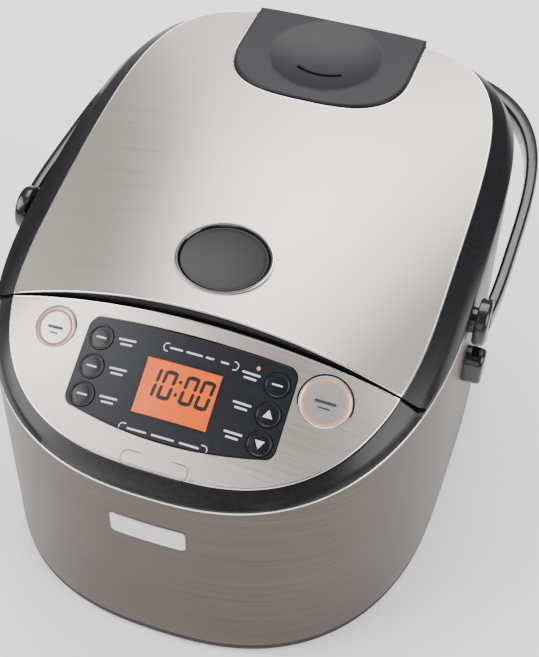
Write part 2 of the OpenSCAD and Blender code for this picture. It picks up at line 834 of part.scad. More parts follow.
module cord_outlet() color("#1b1b1d") {
    difference() {
        union() {
            translate([outlet_x - outlet_w / 2 + 0.2, body_rear_y - 14, outlet_z - outlet_h / 2 + 0.2])
                cube([outlet_w - 0.4, 14, outlet_h - 0.4]);
            intersection() {
                translate([outlet_x - outlet_w / 2 - 3, body_rear_y - 6, outlet_z - outlet_h / 2 - 3])
                    cube([outlet_w + 6, 12, outlet_h + 6]);
                difference() {
                    body_prism(-1.6, 0, big);
                    body_prism(-0.1, -1, big + 1);
                }
            }
        }
        translate([outlet_x - 7, body_rear_y - 20, outlet_z - 4]) cube([14, 40, 8]);
    }
}

// ---------------------------------------------------------------- pieces on the outside

pivot_out = body_half_w + handle_gap + handle_wall;
module handle_pivots() color("#1b1b1d") {
    both_sides() translate([0, hub_y, hub_z]) rotate([0, 90, 0]) {
        translate([0, 0, body_half_w - 5]) cylinder(r = 12, h = 5 - shell_wall - near_gap);
        translate([0, 0, body_half_w - 5]) cylinder(r = boss_r, h = 5 + handle_gap - near_gap);
        translate([0, 0, body_half_w - 5]) cylinder(r = pivot_r, h = 5 + handle_gap + handle_wall - 2);
    }
}
handle_rear_y = pan_y + handle_rear_reach;
handle_mid_y = widest_y + 62;
handle_power = 3.4;
handle_rise = 2.4;
function handle_curve(grow_w, grow_d) = [
    for (i = [0:72])
        let (
            angle = -60 + 300 * i / 72,
            b = sin(angle) < 0 ? 140 : handle_rear_y - handle_mid_y + grow_d,
            r = oval_r(angle, pivot_out + 3.2 + grow_w, b, handle_power)
        )
        [r * cos(angle), handle_mid_y + r * sin(angle)]
];
module carry_handle() color("#161618") {
    translate([0, hub_y, hub_z]) difference() {
        union() {
            rotate([handle_rise, 0, 0]) translate([0, -hub_y, -handle_h / 2]) linear_extrude(handle_h) {
                intersection() {
                    difference() {
                        polygon(handle_curve(0, 0));
                        polygon(handle_curve(-handle_wall, -handle_bar));
                    }
                    translate([-big, hub_y]) square([2 * big, big]);
                }
            }
            both_sides() translate([body_half_w + handle_gap, 0, 0]) rotate([0, 90, 0]) {
                cylinder(r = hub_r, h = handle_wall);
            }
        }
        rod(pivot_r + running_fit, 2 * pivot_out - 3.4, 0, 0);
        rod(hub_r + 8, 2 * (body_half_w + handle_gap), 0, 0);
    }
}

lug_y = hub_y + 10;
lug_z = hub_z - 48;
lug_d = 18;
lug_h = 26;
lug_out = 12;
lug_slot = 5;
module spatula_lugs() color("#161618") {
    both_sides() difference() {
        translate([body_half_w - 4, lug_y, lug_z]) rotate([0, 90, 0]) linear_extrude(lug_out + 4) hull() {
            for (s = [-1, 1]) translate([s * (lug_h - lug_d) / 2, 0]) circle(r = lug_d / 2, $fn = 32);
        }
        body_prism(-0.1, -1, big);
        translate([body_half_w + 2.8, lug_y - 5.5, lug_z - lug_h]) cube([lug_slot, 11, 2 * lug_h]);
    }
}
badge_z = 112.5;
module front_badge() color("#d8d6d2") {
    intersection() {
        difference() {
            body_prism(-0.7, badge_z - 8.5, badge_z + 8.5);
            body_prism(-0.05, 0, big);
        }
        translate([-23.5, body_front_y - 10, 0]) cube([47, 30, big]);
    }
}

// ---------------------------------------------------------------- lid

lid_front_y = seam_y + seam_gap;
lid_rake = 3.3;
lid_wall = 2.2;
lid_lift = 0.5;
skin_seat = 0.05;
module lid_top(drop, wall) {
    ring = lid_ring(1, 0, lid_front_y);
    solid_of_rows([
        for (s = ring_shares) lid_row(ring, s, drop),
        for (s = reversed(ring_shares)) lid_row(ring, s, drop + wall)
    ], [0, lid_mid_y, lid_z(0, lid_mid_y) - drop], [0, lid_mid_y, lid_z(0, lid_mid_y) - drop - wall]);
}

// Plan of the vent cap: a half oval in front, straight sides and an open rear.
vent_y = pan_y + 106.2;
vent_power = 2.7;
module vent_shape(grow, rear) {
    arc = [
        for (i = [0:24])
            let (angle = 180 + 180 * i / 24, r = oval_r(angle, vent_half_w + grow, vent_front + grow, vent_power))
            [r * cos(angle), vent_y + r * sin(angle)]
    ];
    polygon(concat(arc, [[vent_half_w + grow, rear], [-vent_half_w - grow, rear]]));
}
button_y = seam_y + 39.8;
button_tilt = atan(lid_rise - 2 * lid_bend * (button_y - seam_y));
button_z = lid_z(0, button_y);
module at_button() {
    translate([0, button_y, button_z]) rotate([button_tilt, 0, 0]) children();
}
module button_oval(grow) {
    polygon([
        for (i = [0:59]) [(button_half_w + grow) * cos(6 * i), (button_half_d + grow) * sin(6 * i)]
    ]);
}
module button_hole(grow) {
    at_button() translate([0, 0, -40]) linear_extrude(80) button_oval(grow);
}
ring_wall = 2.4;

module lid_skin() color("#d2cdc7") {
    difference() {
        lid_top(0, skin_wall);
        button_hole(ring_wall + 0.1);
        linear_extrude(big) vent_shape(0.8, body_rear_y + 20);
    }
}

tub_wall = 1.5;
tub_rear_y = body_rear_y - 6;
tub_depth = 9.5;
tub_floor_z = lid_z(0, vent_y) - tub_depth;
module lid_frame() color("#1b1b1d") {
    y = lid_front_y;
    top = lid_ring(1, 0, y);
    crease = lid_ring(crease_share, 0, y + 0.4 * lid_rake);
    outer = lid_ring(0, 0, y + lid_rake);
    lining = lid_ring(0, lid_wall, y + lid_rake + lid_wall);
    under = lid_ring(1, 0, y + lid_wall);
    drop = skin_wall + frame_wall;
    difference() {
        solid_of_rows([
            for (s = ring_shares) lid_row(top, s, skin_wall + skin_seat),
            [for (p = crease) [p[0], p[1], mix(split_z(p[1]), lid_z(p[0], p[1]), crease_height)]],
            [for (p = outer) [p[0], p[1], split_z(p[1]) + lid_lift]],
            [for (p = lining) [p[0], p[1], split_z(p[1]) + lid_lift]],
            for (s = reversed(ring_shares)) lid_row(under, s, drop)
        ], [0, lid_mid_y, lid_z(0, lid_mid_y) - skin_wall - 0.02],
            [0, lid_mid_y, lid_z(0, lid_mid_y) - drop]);
        button_hole(ring_wall + 0.1);
        translate([0, 0, tub_floor_z - tub_wall]) linear_extrude(big) vent_shape(0.8, tub_rear_y + 0.2);
        translate([0, 0, cap_lip_z - 0.6]) linear_extrude(big) intersection() {
            vent_shape(0.8, body_rear_y + 9);
            translate([-big / 2, body_rear_y - 6]) square([big, 20]);
        }
        keeper_block(0.5, 40);
    }
}

// Bolt that holds the lid shut, its keeper in the body and the wedge that draws it back.
bolt_low_z = rim_z + 13;
bolt_t = 4;
bolt_half_w = 9;
bolt_nose_y = seam_y + 2.2;
bolt_rear_y = button_y + 12;
module keeper_block(grow, depth) {
    translate([-bolt_half_w - 2 - grow, seam_y - depth, bolt_low_z - 1 - grow])
        cube([2 * (bolt_half_w + 2 + grow), 2 * depth, bolt_t + 2 + 2 * grow]);
}
module latch_keeper() color("#b4b4b6") {
    difference() {
        intersection() {
            keeper_block(0, 8);
            translate([-big / 2, seam_y - seam_gap - 1.4, 0]) cube([big, 1.4, big]);
        }
        translate([-bolt_half_w - 0.6, seam_y - 10, bolt_low_z - 0.4])
            cube([2 * bolt_half_w + 1.2, 20, bolt_t + 0.8]);
    }
}
stem_r = 5;
stem_low = 32;
button_t = 2.4;
button_sunk = 0.5;
wedge_y = button_y - 0.8;
wedge_z = bolt_low_z + bolt_t - 0.5;
wedge_gap = 0.9;
module wedge_below(drop) {
    rotate([90, 0, 90]) linear_extrude(big, center = true) {
        polygon([
            [wedge_y - 60, wedge_z - 60 - drop],
            [wedge_y + 60, wedge_z + 60 - drop],
            [wedge_y + 60, wedge_z - 60 - drop]
        ]);
    }
}
module latch_bolt() color("#c4c0b8") {
    difference() {
        union() {
            translate([-bolt_half_w, bolt_nose_y, bolt_low_z])
                cube([2 * bolt_half_w, bolt_rear_y - bolt_nose_y, bolt_t]);
            intersection() {
                translate([-stem_r, wedge_y - 3, bolt_low_z]) cube([2 * stem_r, 12, bolt_t + 5]);
                wedge_below(wedge_gap);
            }
        }
        difference() {
            translate([-stem_r - 0.6, wedge_y - 5.8, bolt_low_z - 1])
                cube([2 * stem_r + 1.2, 20, bolt_t + 12]);
            wedge_below(wedge_gap);
        }
    }
}
module lid_button() color("#3b3b3d") {
    difference() {
        union() {
            at_button() translate([0, 0, -button_sunk - button_t])
                linear_extrude(button_t) button_oval(-key_gap);
            at_button() translate([0, 0, -stem_low]) cylinder(r = stem_r, h = stem_low - button_sunk - 1);
        }
        wedge_below(0);
    }
}
ring_floor = 14;
module button_ring() color("#101012") {
    at_button() {
        difference() {
            translate([0, 0, -ring_floor - 2]) linear_extrude(ring_floor + 2.6) button_oval(ring_wall);
            translate([0, 0, -ring_floor]) linear_extrude(40) button_oval(0);
            translate([0, 0, -30]) cylinder(r = stem_r + running_fit, h = 40);
        }
        ring(stem_r + 2.5, stem_r + running_fit, -ring_floor - 6, -ring_floor - 2);
    }
}
module button_spring() color("#b0b0b2") {
    at_button() coil_spring(9, 0.6, -ring_floor + 0.05, -button_sunk - button_t - 0.05, 4);
}

// Underside of the lid: a cup that enters the recess around the pan, with a plate around it.
plug_gap = 4;
plug_r = recess_r - plug_gap;
plug_wall = 2;
plug_low_z = rim_z + 1.5;
plug_floor_z = rim_z + 9;
steam_y = pan_y + 86;
steam_r = 12;
cup_r = 24;
plate_lift = 0.6;
plate_share = 0.68;
module under_plate_band() {
    ys = stations(lid_front_y, hinge_y - 10);
    side_slab(concat(
        [for (y = ys) [y, split_z(y) + plate_lift]],
        [for (y = reversed(ys)) [y, split_z(y) + plate_lift + plug_wall]]
    ));
}
module lid_under_cover() color("#2a2a2c") {
    difference() {
        union() {
            intersection() {
                translate([0, 0, rim_z - 10]) linear_extrude(80)
                    polygon(lid_ring(plate_share, 0, lid_front_y + lid_rake + lid_wall + near_gap));
                under_plate_band();
            }
            intersection() {
                translate([0, pan_y, plug_low_z]) cylinder(r = plug_r, h = 80);
                union() {
                    side_slab(concat(
                        [[-big, 0], [big, 0]],
                        [for (y = reversed(stations(lid_front_y, hinge_y - 10))) [y, split_z(y) + plate_lift + plug_wall]]
                    ));
                    translate([-big / 2, -big / 2, 0]) cube([big, big, plug_floor_z + plug_wall]);
                }
            }
        }
        translate([0, pan_y, plug_floor_z + plug_wall]) cylinder(r = plug_r - plug_wall, h = 80);
        translate([0, pan_y, 0]) cylinder(r = plug_r - plug_wall, h = plug_floor_z);
        translate([0, steam_y, 0]) cylinder(r = steam_r + 2.5, h = big);
    }
    for (s = [-1, 1]) translate([s * (bolt_half_w - 2) - 1.5, bolt_nose_y + 14, plug_floor_z + 1]) {
        cube([3, 50, bolt_low_z - plug_floor_z - 1.2]);
    }
}
module lid_heater() color("#b5b5b7") {
    translate([0, pan_y, 0]) difference() {
        translate([0, 0, plug_floor_z - 0.8]) cylinder(r = plug_r - plug_wall - 4, h = 0.75);
        translate([0, steam_y - pan_y, 0]) cylinder(r = steam_r + 3, h = big);
    }
}
inner_lid_r = pan_rim_r - 2;
inner_lid_z = rim_z + 6;
module inner_lid() color("#c6c6c8") {
    translate([0, pan_y, 0]) difference() {
        union() {
            translate([0, 0, inner_lid_z]) cylinder(r = inner_lid_r - 3, h = 1.2);
            for (a = [80, 100, 260, 280]) rotate(a)
                translate([inner_lid_r - 12, -3, inner_lid_z + 1.2]) cube([6, 6, 1]);
        }
        for (i = [0:6]) translate([4 * i - 12, steam_y - pan_y, 0]) cylinder(r = 1.4, h = big, $fn = 24);
    }
}
module lid_gasket() color("#8a8a88") {
    translate([0, pan_y, 0]) {
        ring(inner_lid_r - 0.6, inner_lid_r - 3, rim_z + near_gap, inner_lid_z + 1.4);
        ring(inner_lid_r - 3, inner_lid_r - 6, inner_lid_z - 1.6, inner_lid_z);
    }
}
module lid_screws() color("#8a8a8c") {
    for (a = [40, 140, 220, 320]) translate([(plug_r - 12) * cos(a), pan_y + (plug_r - 12) * sin(a), plug_floor_z - 0.8]) {
        translate([0, 0, 0.8 + plug_wall]) cylinder(r = 3, h = 2);
    }
}

// Steam vent: a cup that lifts out of its socket in the lid with the cap.
vent_tilt = atan(lid_rise - 2 * lid_bend * (vent_y - seam_y));
vent_top_z = lid_z(0, vent_y) + 0.5;
cup_low_z = rim_z + 30;
module vent_socket() color("#232325") {
    difference() {
        union() {
            intersection() {
                translate([0, 0, tub_floor_z - tub_wall]) linear_extrude(30) vent_shape(0.6, tub_rear_y);
                side_slab(concat(
                    [[-big, 0], [big, 0]],
                    [for (y = reversed(stations(seam_y, body_rear_y + 2))) [y, lid_z(vent_half_w, y) - 2]]
                ));
            }
            translate([0, steam_y, cup_low_z - tub_wall])
                cylinder(r = cup_r + 0.5 + tub_wall, h = tub_floor_z - cup_low_z);
            translate([0, steam_y, plug_floor_z + 1])
                cylinder(r = steam_r + 2.3, h = cup_low_z - plug_floor_z - 2);
        }
        translate([0, 0, tub_floor_z]) linear_extrude(30) vent_shape(0.6 - tub_wall, tub_rear_y - tub_wall);
        translate([0, steam_y, cup_low_z]) cylinder(r = cup_r + 0.5, h = 60);
        translate([0, steam_y, 0]) cylinder(r = steam_r + 0.6, h = big);
    }
}
module vent_base() color("#c9c9c4") {
    translate([0, steam_y, 0]) {
        ring(cup_r, cup_r - 1.5, cup_low_z + 0.4, tub_floor_z + 1.5);
        ring(cup_r, steam_r - 4, cup_low_z + 0.4, cup_low_z + 2);
        ring(steam_r - 2, steam_r - 4, cup_low_z - 8, cup_low_z + 0.4);
    }
}
module vent_gasket() color("#8a8a88") {
    translate([0, steam_y, 0]) ring(steam_r + 0.2, steam_r - 2, cup_low_z - 6, cup_low_z - 3);
}
cap_wall = 2.2;
cap_skirt = 1.6;
dish_ball = (dish_r * dish_r + dish_depth * dish_depth) / (2 * dish_depth);
slot_r = 34;
slot_half_w = 16;
cap_lip_z = lid_z(0, body_rear_y) - 8.4;
cap_lip_y = body_rear_y - 2.4;
module at_vent() {
    translate([0, vent_y, vent_top_z]) rotate([vent_tilt, 0, 0]) children();
}
module vent_cap() color("#4c4c4e") {
    difference() {
        union() {
            // Plate with the full outline.
            intersection() {
                translate([0, 0, tub_floor_z]) linear_extrude(40) intersection() {
                    vent_shape(0, body_rear_y + 20);
                    polygon(outline(crease_share, 0));
                }
                at_vent() translate([-big / 2, -big / 2, -cap_wall]) cube([big, big, cap_wall]);
            }
            // Skirt that stands inside the socket, and the boss under the dish.
            intersection() {
                translate([0, 0, tub_floor_z + near_gap]) linear_extrude(40) difference() {
                    vent_shape(0.6 - tub_wall - near_gap, tub_rear_y - tub_wall - near_gap);
                    vent_shape(0.6 - tub_wall - near_gap - cap_skirt, tub_rear_y - tub_wall - near_gap - cap_skirt);
                }
                at_vent() translate([-big / 2, -big / 2, -40]) cube([big, big, 40 - cap_wall / 2]);
            }
            intersection() {
                at_vent() translate([0, 0, dish_ball - dish_depth]) sphere(r = dish_ball + cap_wall, $fn = 120);
                at_vent() translate([0, 0, -10]) cylinder(r = dish_r + 2, h = 10 - cap_wall / 2);
                translate([0, 0, tub_floor_z + near_gap]) linear_extrude(40) vent_shape(-2, tub_rear_y - 3);
            }
            // Lip over the rear of the lid.
            intersection() {
                translate([-vent_half_w, cap_lip_y - cap_wall, cap_lip_z])
                    cube([2 * vent_half_w, 2 * cap_wall, vent_top_z - cap_lip_z + 2]);
                translate([0, 0, cap_lip_z]) linear_extrude(40) polygon(outline(crease_share, 0));
                at_vent() translate([-big / 2, -big / 2, -40]) cube([big, big, 40 - cap_wall / 2]);
            }
        }
        at_vent() translate([0, 0, dish_ball - dish_depth]) sphere(r = dish_ball, $fn = 120);
        intersection() {
            translate([0, vent_y + 16.6, 0]) ring(slot_r + 1.5, slot_r - 1.5, 0, big);
            translate([-slot_half_w, vent_y - 40, 0]) cube([2 * slot_half_w, 40, big]);
        }
    }
}

base_tray();
rubber_feet();
base_screws();
body_shell();
body_deck();
control_bezel();
control_cover();
display_inlay();
display_window();
display_panel();
control_board();
tact_switches();
well_liner();
coil_bowl();
induction_coil();
ferrite_bars();
sensor_holder();
sensor_spring();
sensor_cap();
power_board();
heat_sink();
power_parts();
fan_frame();
fan_rotor();
cord_reel_case();
cord_reel_drum();
cord_outlet();
hinge_bracket();
hinge_pin();
lid_spring();
latch_keeper();
spatula_lugs();
handle_pivots();
carry_handle();
inner_pan();
front_badge();
lid_skin();
lid_frame();
lid_hinge_arms();
lid_under_cover();
lid_heater();
inner_lid();
lid_gasket();
button_ring();
button_spring();
lid_button();
latch_bolt();
vent_socket();
vent_base();
vent_gasket();
vent_cap();
lid_screws();
key_cancel();
key_start();
key_menu();
key_warm();
key_extended();
key_timer();
key_up();
key_down();
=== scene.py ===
"""Looks of an induction rice cooker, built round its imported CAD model.

Sizes in this file are millimetres; new_piece() turns them to metres. +Z is up and the front faces -Y.
"""

import math

import bpy
from mathutils import Matrix, Vector
from mathutils.geometry import delaunay_2d_cdt
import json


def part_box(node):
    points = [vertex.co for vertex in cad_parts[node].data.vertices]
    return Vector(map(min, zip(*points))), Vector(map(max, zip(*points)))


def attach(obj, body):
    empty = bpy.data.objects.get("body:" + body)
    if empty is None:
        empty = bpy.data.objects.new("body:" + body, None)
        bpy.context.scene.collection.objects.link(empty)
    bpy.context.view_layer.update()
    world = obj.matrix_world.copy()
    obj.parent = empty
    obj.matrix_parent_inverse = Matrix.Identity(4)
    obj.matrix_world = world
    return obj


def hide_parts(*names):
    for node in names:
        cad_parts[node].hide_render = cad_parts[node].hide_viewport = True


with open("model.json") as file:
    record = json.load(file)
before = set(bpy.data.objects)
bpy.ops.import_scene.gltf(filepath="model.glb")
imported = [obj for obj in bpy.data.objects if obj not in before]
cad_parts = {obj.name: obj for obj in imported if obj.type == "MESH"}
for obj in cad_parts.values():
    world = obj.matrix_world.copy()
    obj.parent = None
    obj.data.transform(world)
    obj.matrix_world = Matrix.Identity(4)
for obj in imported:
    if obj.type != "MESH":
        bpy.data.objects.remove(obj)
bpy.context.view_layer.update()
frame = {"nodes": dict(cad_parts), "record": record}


# ------------------------------------------------------------------------------------ steel shell
# The wall of the body: one strip of stainless steel rolled to an oval, standing on the base and
# folded over at its upper edge. Its outline and the lines of the seam are shared by the panel
# and the lid, so they are worked out here from the CAD model.
def box_mm(node):
    low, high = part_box(node)
    return low * 1000, high * 1000


shell_low, shell_high = box_mm("body_shell")
pan_low, pan_high = box_mm("inner_pan")
BODY_HALF_W = shell_high.x
FRONT_Y = shell_low.y
REAR_Y = shell_high.y
SHELL_LOW_Z = shell_low.z
PAN_Y = (pan_low.y + pan_high.y) / 2
RIM_Z = pan_high.z
SEAM_GAP = 0.7
SEAM_Y = box_mm("control_bezel")[1].y + SEAM_GAP
WIDEST_Y = PAN_Y - 50.6
BAND_SIDE = 16.6
BAND_FRONT = 11.5
BAND_REAR = 7.5
FRONT_POWER = 2.48
REAR_POWER = 4.2
CREASE_SHARE = 0.35
CREASE_HEIGHT = 0.6
STEEL_WALL = 0.8
FOLD_H = 1.1


def mix(a, b, share):
    return a + (b - a) * share


def steel_z(y):
    u = y - SEAM_Y
    return RIM_Z - 3.05 + 0.26 * u - 0.00042 * u * u


def oval_r(angle, a, b, power):
    across = (abs(math.cos(angle)) / a) ** power
    along = (abs(math.sin(angle)) / b) ** power
    return (across + along) ** (-1 / power)


def outline_at(angle, share, inset):
    """A point of the body's outline. share 0 is the outer edge, 1 the edge of the skins."""
    ahead = math.sin(angle) < 0
    half_w = BODY_HALF_W - share * BAND_SIDE - inset
    if ahead:
        depth = WIDEST_Y - FRONT_Y - share * BAND_FRONT - inset
        power = FRONT_POWER + 0.4 * share
    else:
        depth = REAR_Y - WIDEST_Y - share * BAND_REAR - inset
        power = REAR_POWER + 0.12 * share
    r = oval_r(angle, half_w, depth, power)
    return r * math.cos(angle), WIDEST_Y + r * math.sin(angle)


def full_ring(share, inset, steps=288):
    return [outline_at(math.tau * i / steps, share, inset) for i in range(steps)]


def loft(rows, closed=False, around=True):
    """Quads through rows of equally many points."""
    count = len(rows[0])
    points = [p for row in rows for p in row]
    faces = []
    for j in range(len(rows) if closed else len(rows) - 1):
        a, b = j * count, ((j + 1) % len(rows)) * count
        for i in range(count if around else count - 1):
            k = (i + 1) % count
            faces.append((a + i, a + k, b + k, b + i))
    return points, faces


def new_piece(name, shape, body, material, sharp=38):
    """A piece from points in millimetres and faces, smooth but for edges over sharp degrees."""
    points, faces = shape
    mesh = bpy.data.meshes.new(name)
    mesh.from_pydata([Vector(p) * 0.001 for p in points], [], faces)
    mesh.validate()
    mesh.update()
    piece = bpy.data.objects.new(name, mesh)
    bpy.context.scene.collection.objects.link(piece)
    mesh.shade_smooth()
    mesh.set_sharp_from_angle(angle=math.radians(sharp))
    mesh.materials.append(material)
    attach(piece, body)
    return piece


def worked(piece, kind, sharp=38, **settings):
    """Applies one modifier to a piece, for good."""
    modifier = piece.modifiers.new(kind.title(), kind)
    for name, value in settings.items():
        setattr(modifier, name, value)
    scene_state = bpy.context.evaluated_depsgraph_get()
    mesh = bpy.data.meshes.new_from_object(piece.evaluated_get(scene_state))
    piece.modifiers.clear()
    piece.data = mesh
    mesh.shade_smooth()
    mesh.set_sharp_from_angle(angle=math.radians(sharp))
    return piece


def cut(piece, shape, sharp=38):
    """Takes a closed shape out of a piece."""
    points, faces = shape
    mesh = bpy.data.meshes.new("cutter")
    mesh.from_pydata([Vector(p) * 0.001 for p in points], [], faces)
    cutter = bpy.data.objects.new("cutter", mesh)
    bpy.context.scene.collection.objects.link(cutter)
    bpy.context.view_layer.update()
    worked(piece, "BOOLEAN", sharp, object=cutter, operation="DIFFERENCE", solver="EXACT")
    bpy.data.objects.remove(cutter)


def prism(loop, low, high):
    """A closed upright solid on a plan, its loop running anticlockwise."""
    count = len(loop)
    points = [(x, y, z) for z in (low, high) for x, y in loop]
    faces = [(i, (i + 1) % count, count + (i + 1) % count, count + i) for i in range(count)]
    faces.append(tuple(reversed(range(count))))
    faces.append(tuple(range(count, 2 * count)))
    return points, faces


def linear(hex_colour):
    """An sRGB hex colour as the linear colour that a shader takes."""
    parts = [int(hex_colour[i : i + 2], 16) / 255 for i in (1, 3, 5)]
    return tuple(c / 12.92 if c <= 0.04045 else ((c + 0.055) / 1.055) ** 2.4 for c in parts) + (1,)


def add_node(material, kind, settings=None, links=None):
    """A node with its settings and links. Capital names are sockets, the others are properties."""
    node = material.node_tree.nodes.new(kind)
    for name, value in (settings or {}).items():
        if isinstance(name, str) and name[0].islower():
            setattr(node, name, value)
        else:
            node.inputs[name].default_value = value
    for name, source in (links or {}).items():
        material.node_tree.links.new(source, node.inputs[name])
    return node


def new_material(name, **sockets):
    """A material whose shader has these constants on its own sockets."""
    material = bpy.data.materials.new(name)
    material.use_nodes = True
    shader = material.node_tree.nodes["Principled BSDF"]
    for socket, value in sockets.items():
        shader.inputs[socket.replace("_", " ")].default_value = value
    return material, shader


def grained(material, shader, colours, scale, rough, bump, detail=4.0):
    """Lets a noise, stretched by scale (per metre), carry the colour, roughness and relief."""
    place = add_node(material, "ShaderNodeTexCoord")
    stretch = add_node(material, "ShaderNodeMapping", {"Scale": scale}, {"Vector": place.outputs["Object"]})
    noise = add_node(
        material, "ShaderNodeTexNoise", {"Scale": 1.0, "Detail": detail, "Roughness": 0.6},
        {"Vector": stretch.outputs["Vector"]},
    )
    tint = add_node(material, "ShaderNodeValToRGB", links={"Fac": noise.outputs["Fac"]})
    tint.color_ramp.elements[0].position = 0.3
    tint.color_ramp.elements[1].position = 0.7
    tint.color_ramp.elements[0].color = linear(colours[0])
    tint.color_ramp.elements[1].color = linear(colours[1])
    spread = add_node(
        material, "ShaderNodeMapRange",
        {"From Min": 0.25, "From Max": 0.75, "To Min": rough[0], "To Max": rough[1]},
        {"Value": noise.outputs["Fac"]},
    )
    relief = add_node(
        material, "ShaderNodeBump", {"Strength": bump[0], "Distance": bump[1]},
        {"Height": noise.outputs["Fac"]},
    )
    tree = material.node_tree
    tree.links.new(tint.outputs["Color"], shader.inputs["Base Color"])
    tree.links.new(spread.outputs["Result"], shader.inputs["Roughness"])
    tree.links.new(relief.outputs["Normal"], shader.inputs["Normal"])
    return noise, relief


# Stainless steel, belt-brushed round the body. The grain lies level, so the eye sees fine level
# lines and a soft reflection that is drawn out up and down. Real grain is about 0.1 mm wide and
# is drawn 0.5 mm wide, so that it shows.
GRAIN_PER_M = 2000
shell_steel, shader = new_material("stainless_steel_brushed_taupe", Metallic=1.0, Anisotropic=0.4)
grained(
    shell_steel, shader, ("#504a44", "#675f58"), (9, 9, GRAIN_PER_M), (0.33, 0.46), (0.12, 0.00006)
)
# The folded edge is the same steel, coloured near-white as a painted highlight: it shows as one thin light
# line.
painted_highlight_steel, shader = new_material("stainless_steel_edge_painted_highlight", Metallic=1.0)
grained(painted_highlight_steel, shader, ("#e9e7e4", "#f4f3f1"), (60, 60, 60), (0.2, 0.3), (0.04, 0.00002))

shell_rows = []
for inset, share in [(STEEL_WALL, 0.02), (0.5, 0.0), (0.1, 0.0), (0.0, 0.012)]:
    shell_rows.append((inset, share))
for step in range(1, 13):
    shell_rows.append((0.0, step / 12))
shell_rows += [(STEEL_WALL, 1.0), (STEEL_WALL, 0.5)]


def shell_point(angle, inset, share):
    x, y = outline_at(angle, 0, inset)
    return x, y, mix(SHELL_LOW_Z, steel_z(y) - FOLD_H, share)


shell = new_piece(
    "steel_shell",
    loft(
        [
            [shell_point(math.tau * i / 288, inset, share) for i in range(288)]
            for inset, share in shell_rows
        ],
        closed=True,
    ),
    "root",
    shell_steel,
)
outlet_low, outlet_high = box_mm("cord_outlet")
OUTLET_X = (outlet_low.x + outlet_high.x) / 2
OUTLET_Z = (outlet_low.z + outlet_high.z) / 2
cut(
    shell,
    prism(
        [
            (OUTLET_X - 11, REAR_Y - 16), (OUTLET_X + 11, REAR_Y - 16),
            (OUTLET_X + 11, REAR_Y + 16), (OUTLET_X - 11, REAR_Y + 16),
        ],
        OUTLET_Z - 7, OUTLET_Z + 7,
    ),
)
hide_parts("body_shell")


def fold_row(inset, drop):
    return [(x, y, steel_z(y) - drop) for x, y in full_ring(0, inset)]


# The fold is coloured with the painted highlight, so its top edge shows as a thin light line.
fold = new_piece(
    "steel_shell_folded_edge",
    loft(
        [
            fold_row(0.0, FOLD_H), fold_row(0.0, 0.35), fold_row(0.15, 0.1), fold_row(0.4, 0.0),
            fold_row(0.8, 0.1), fold_row(0.95, 0.4), fold_row(0.9, 3.0), fold_row(0.5, FOLD_H),
        ],
        closed=True,
    ),
    "root",
    painted_highlight_steel,
)


# ------------------------------------------------------------------------------------- base
# The base is a moulded tray of black polypropylene with a fine textured finish. A rounded rim
# hides the lower edge of the steel, and four rubber feet carry the cooker.
textured_plastic, shader = new_material("polypropylene_moulded_textured", IOR=1.49)
grained(textured_plastic, shader, ("#141415", "#1d1d1f"), (900, 900, 900), (0.5, 0.68), (0.25, 0.0001))
foot_rubber, shader = new_material("rubber_moulded_feet", IOR=1.52)
grained(foot_rubber, shader, ("#19191a", "#252526"), (500, 500, 500), (0.72, 0.9), (0.2, 0.0001))


def level_row(inset, z):
    return [(x, y, z) for x, y in full_ring(0, inset)]


base_rim = new_piece(
    "base_rim",
    loft(
        [
            level_row(4.0, 3.9), level_row(1.5, 3.9), level_row(0.9, 4.3), level_row(0.6, 5.0),
            level_row(0.5, 9.2), level_row(0.9, 9.9), level_row(4.0, 9.9),
        ],
        closed=True,
    ),
    "root",
    textured_plastic,
)


# ------------------------------------------------------------------------ black bands and seam
# A band of black ABS runs round the lid and the control panel. It falls from the edge of the steel
# skins to the seam above the shell, with one soft crease on the way. The part in front
# belongs to the body and the rest is the frame of the lid.
band_plastic, shader = new_material("abs_moulded_satin_black", IOR=1.54, Specular_IOR_Level=0.35)
grained(band_plastic, shader, ("#101012", "#161618"), (420, 420, 420), (0.26, 0.36), (0.06, 0.00005))

LID_WALL = 2.2
LID_RAKE = 3.3
SKIN_WALL = 0.8
COVER_WALL = 1.5
SKIN_SEAT = 0.05
SEAM_STEPS = 48
ARC_STEPS = 260
PANEL_SLOPE = math.radians(32.3)
PANEL_SEAM_H = 28.6
PANEL_CROWN = 0.001309
PANEL_CROWN_FADE = 1.563e-5
LID_SEAM_H = 36.2
LID_RISE = 0.1927
LID_BEND = 0.000334
LID_CROWN = 25.3
CROWN_FADE = 6.02e-6
lid_edge_x = (pan_high.x - pan_low.x) / 2 + 2.7


def split_z(y):
    return steel_z(y) + mix(2, 9.7, max(0, y - SEAM_Y) / (REAR_Y - SEAM_Y))


def lid_z(x, y):
    u = y - SEAM_Y
    bow = LID_CROWN / lid_edge_x**2 - CROWN_FADE * u
    return RIM_Z + LID_SEAM_H + LID_RISE * u - LID_BEND * u * u - bow * x * x


def panel_bow(y):
    return max(0, PANEL_CROWN + PANEL_CROWN_FADE * (y - SEAM_Y))


def panel_z(x, y):
    return RIM_Z + PANEL_SEAM_H + math.tan(PANEL_SLOPE) * (y - SEAM_Y) - panel_bow(y) * x * x


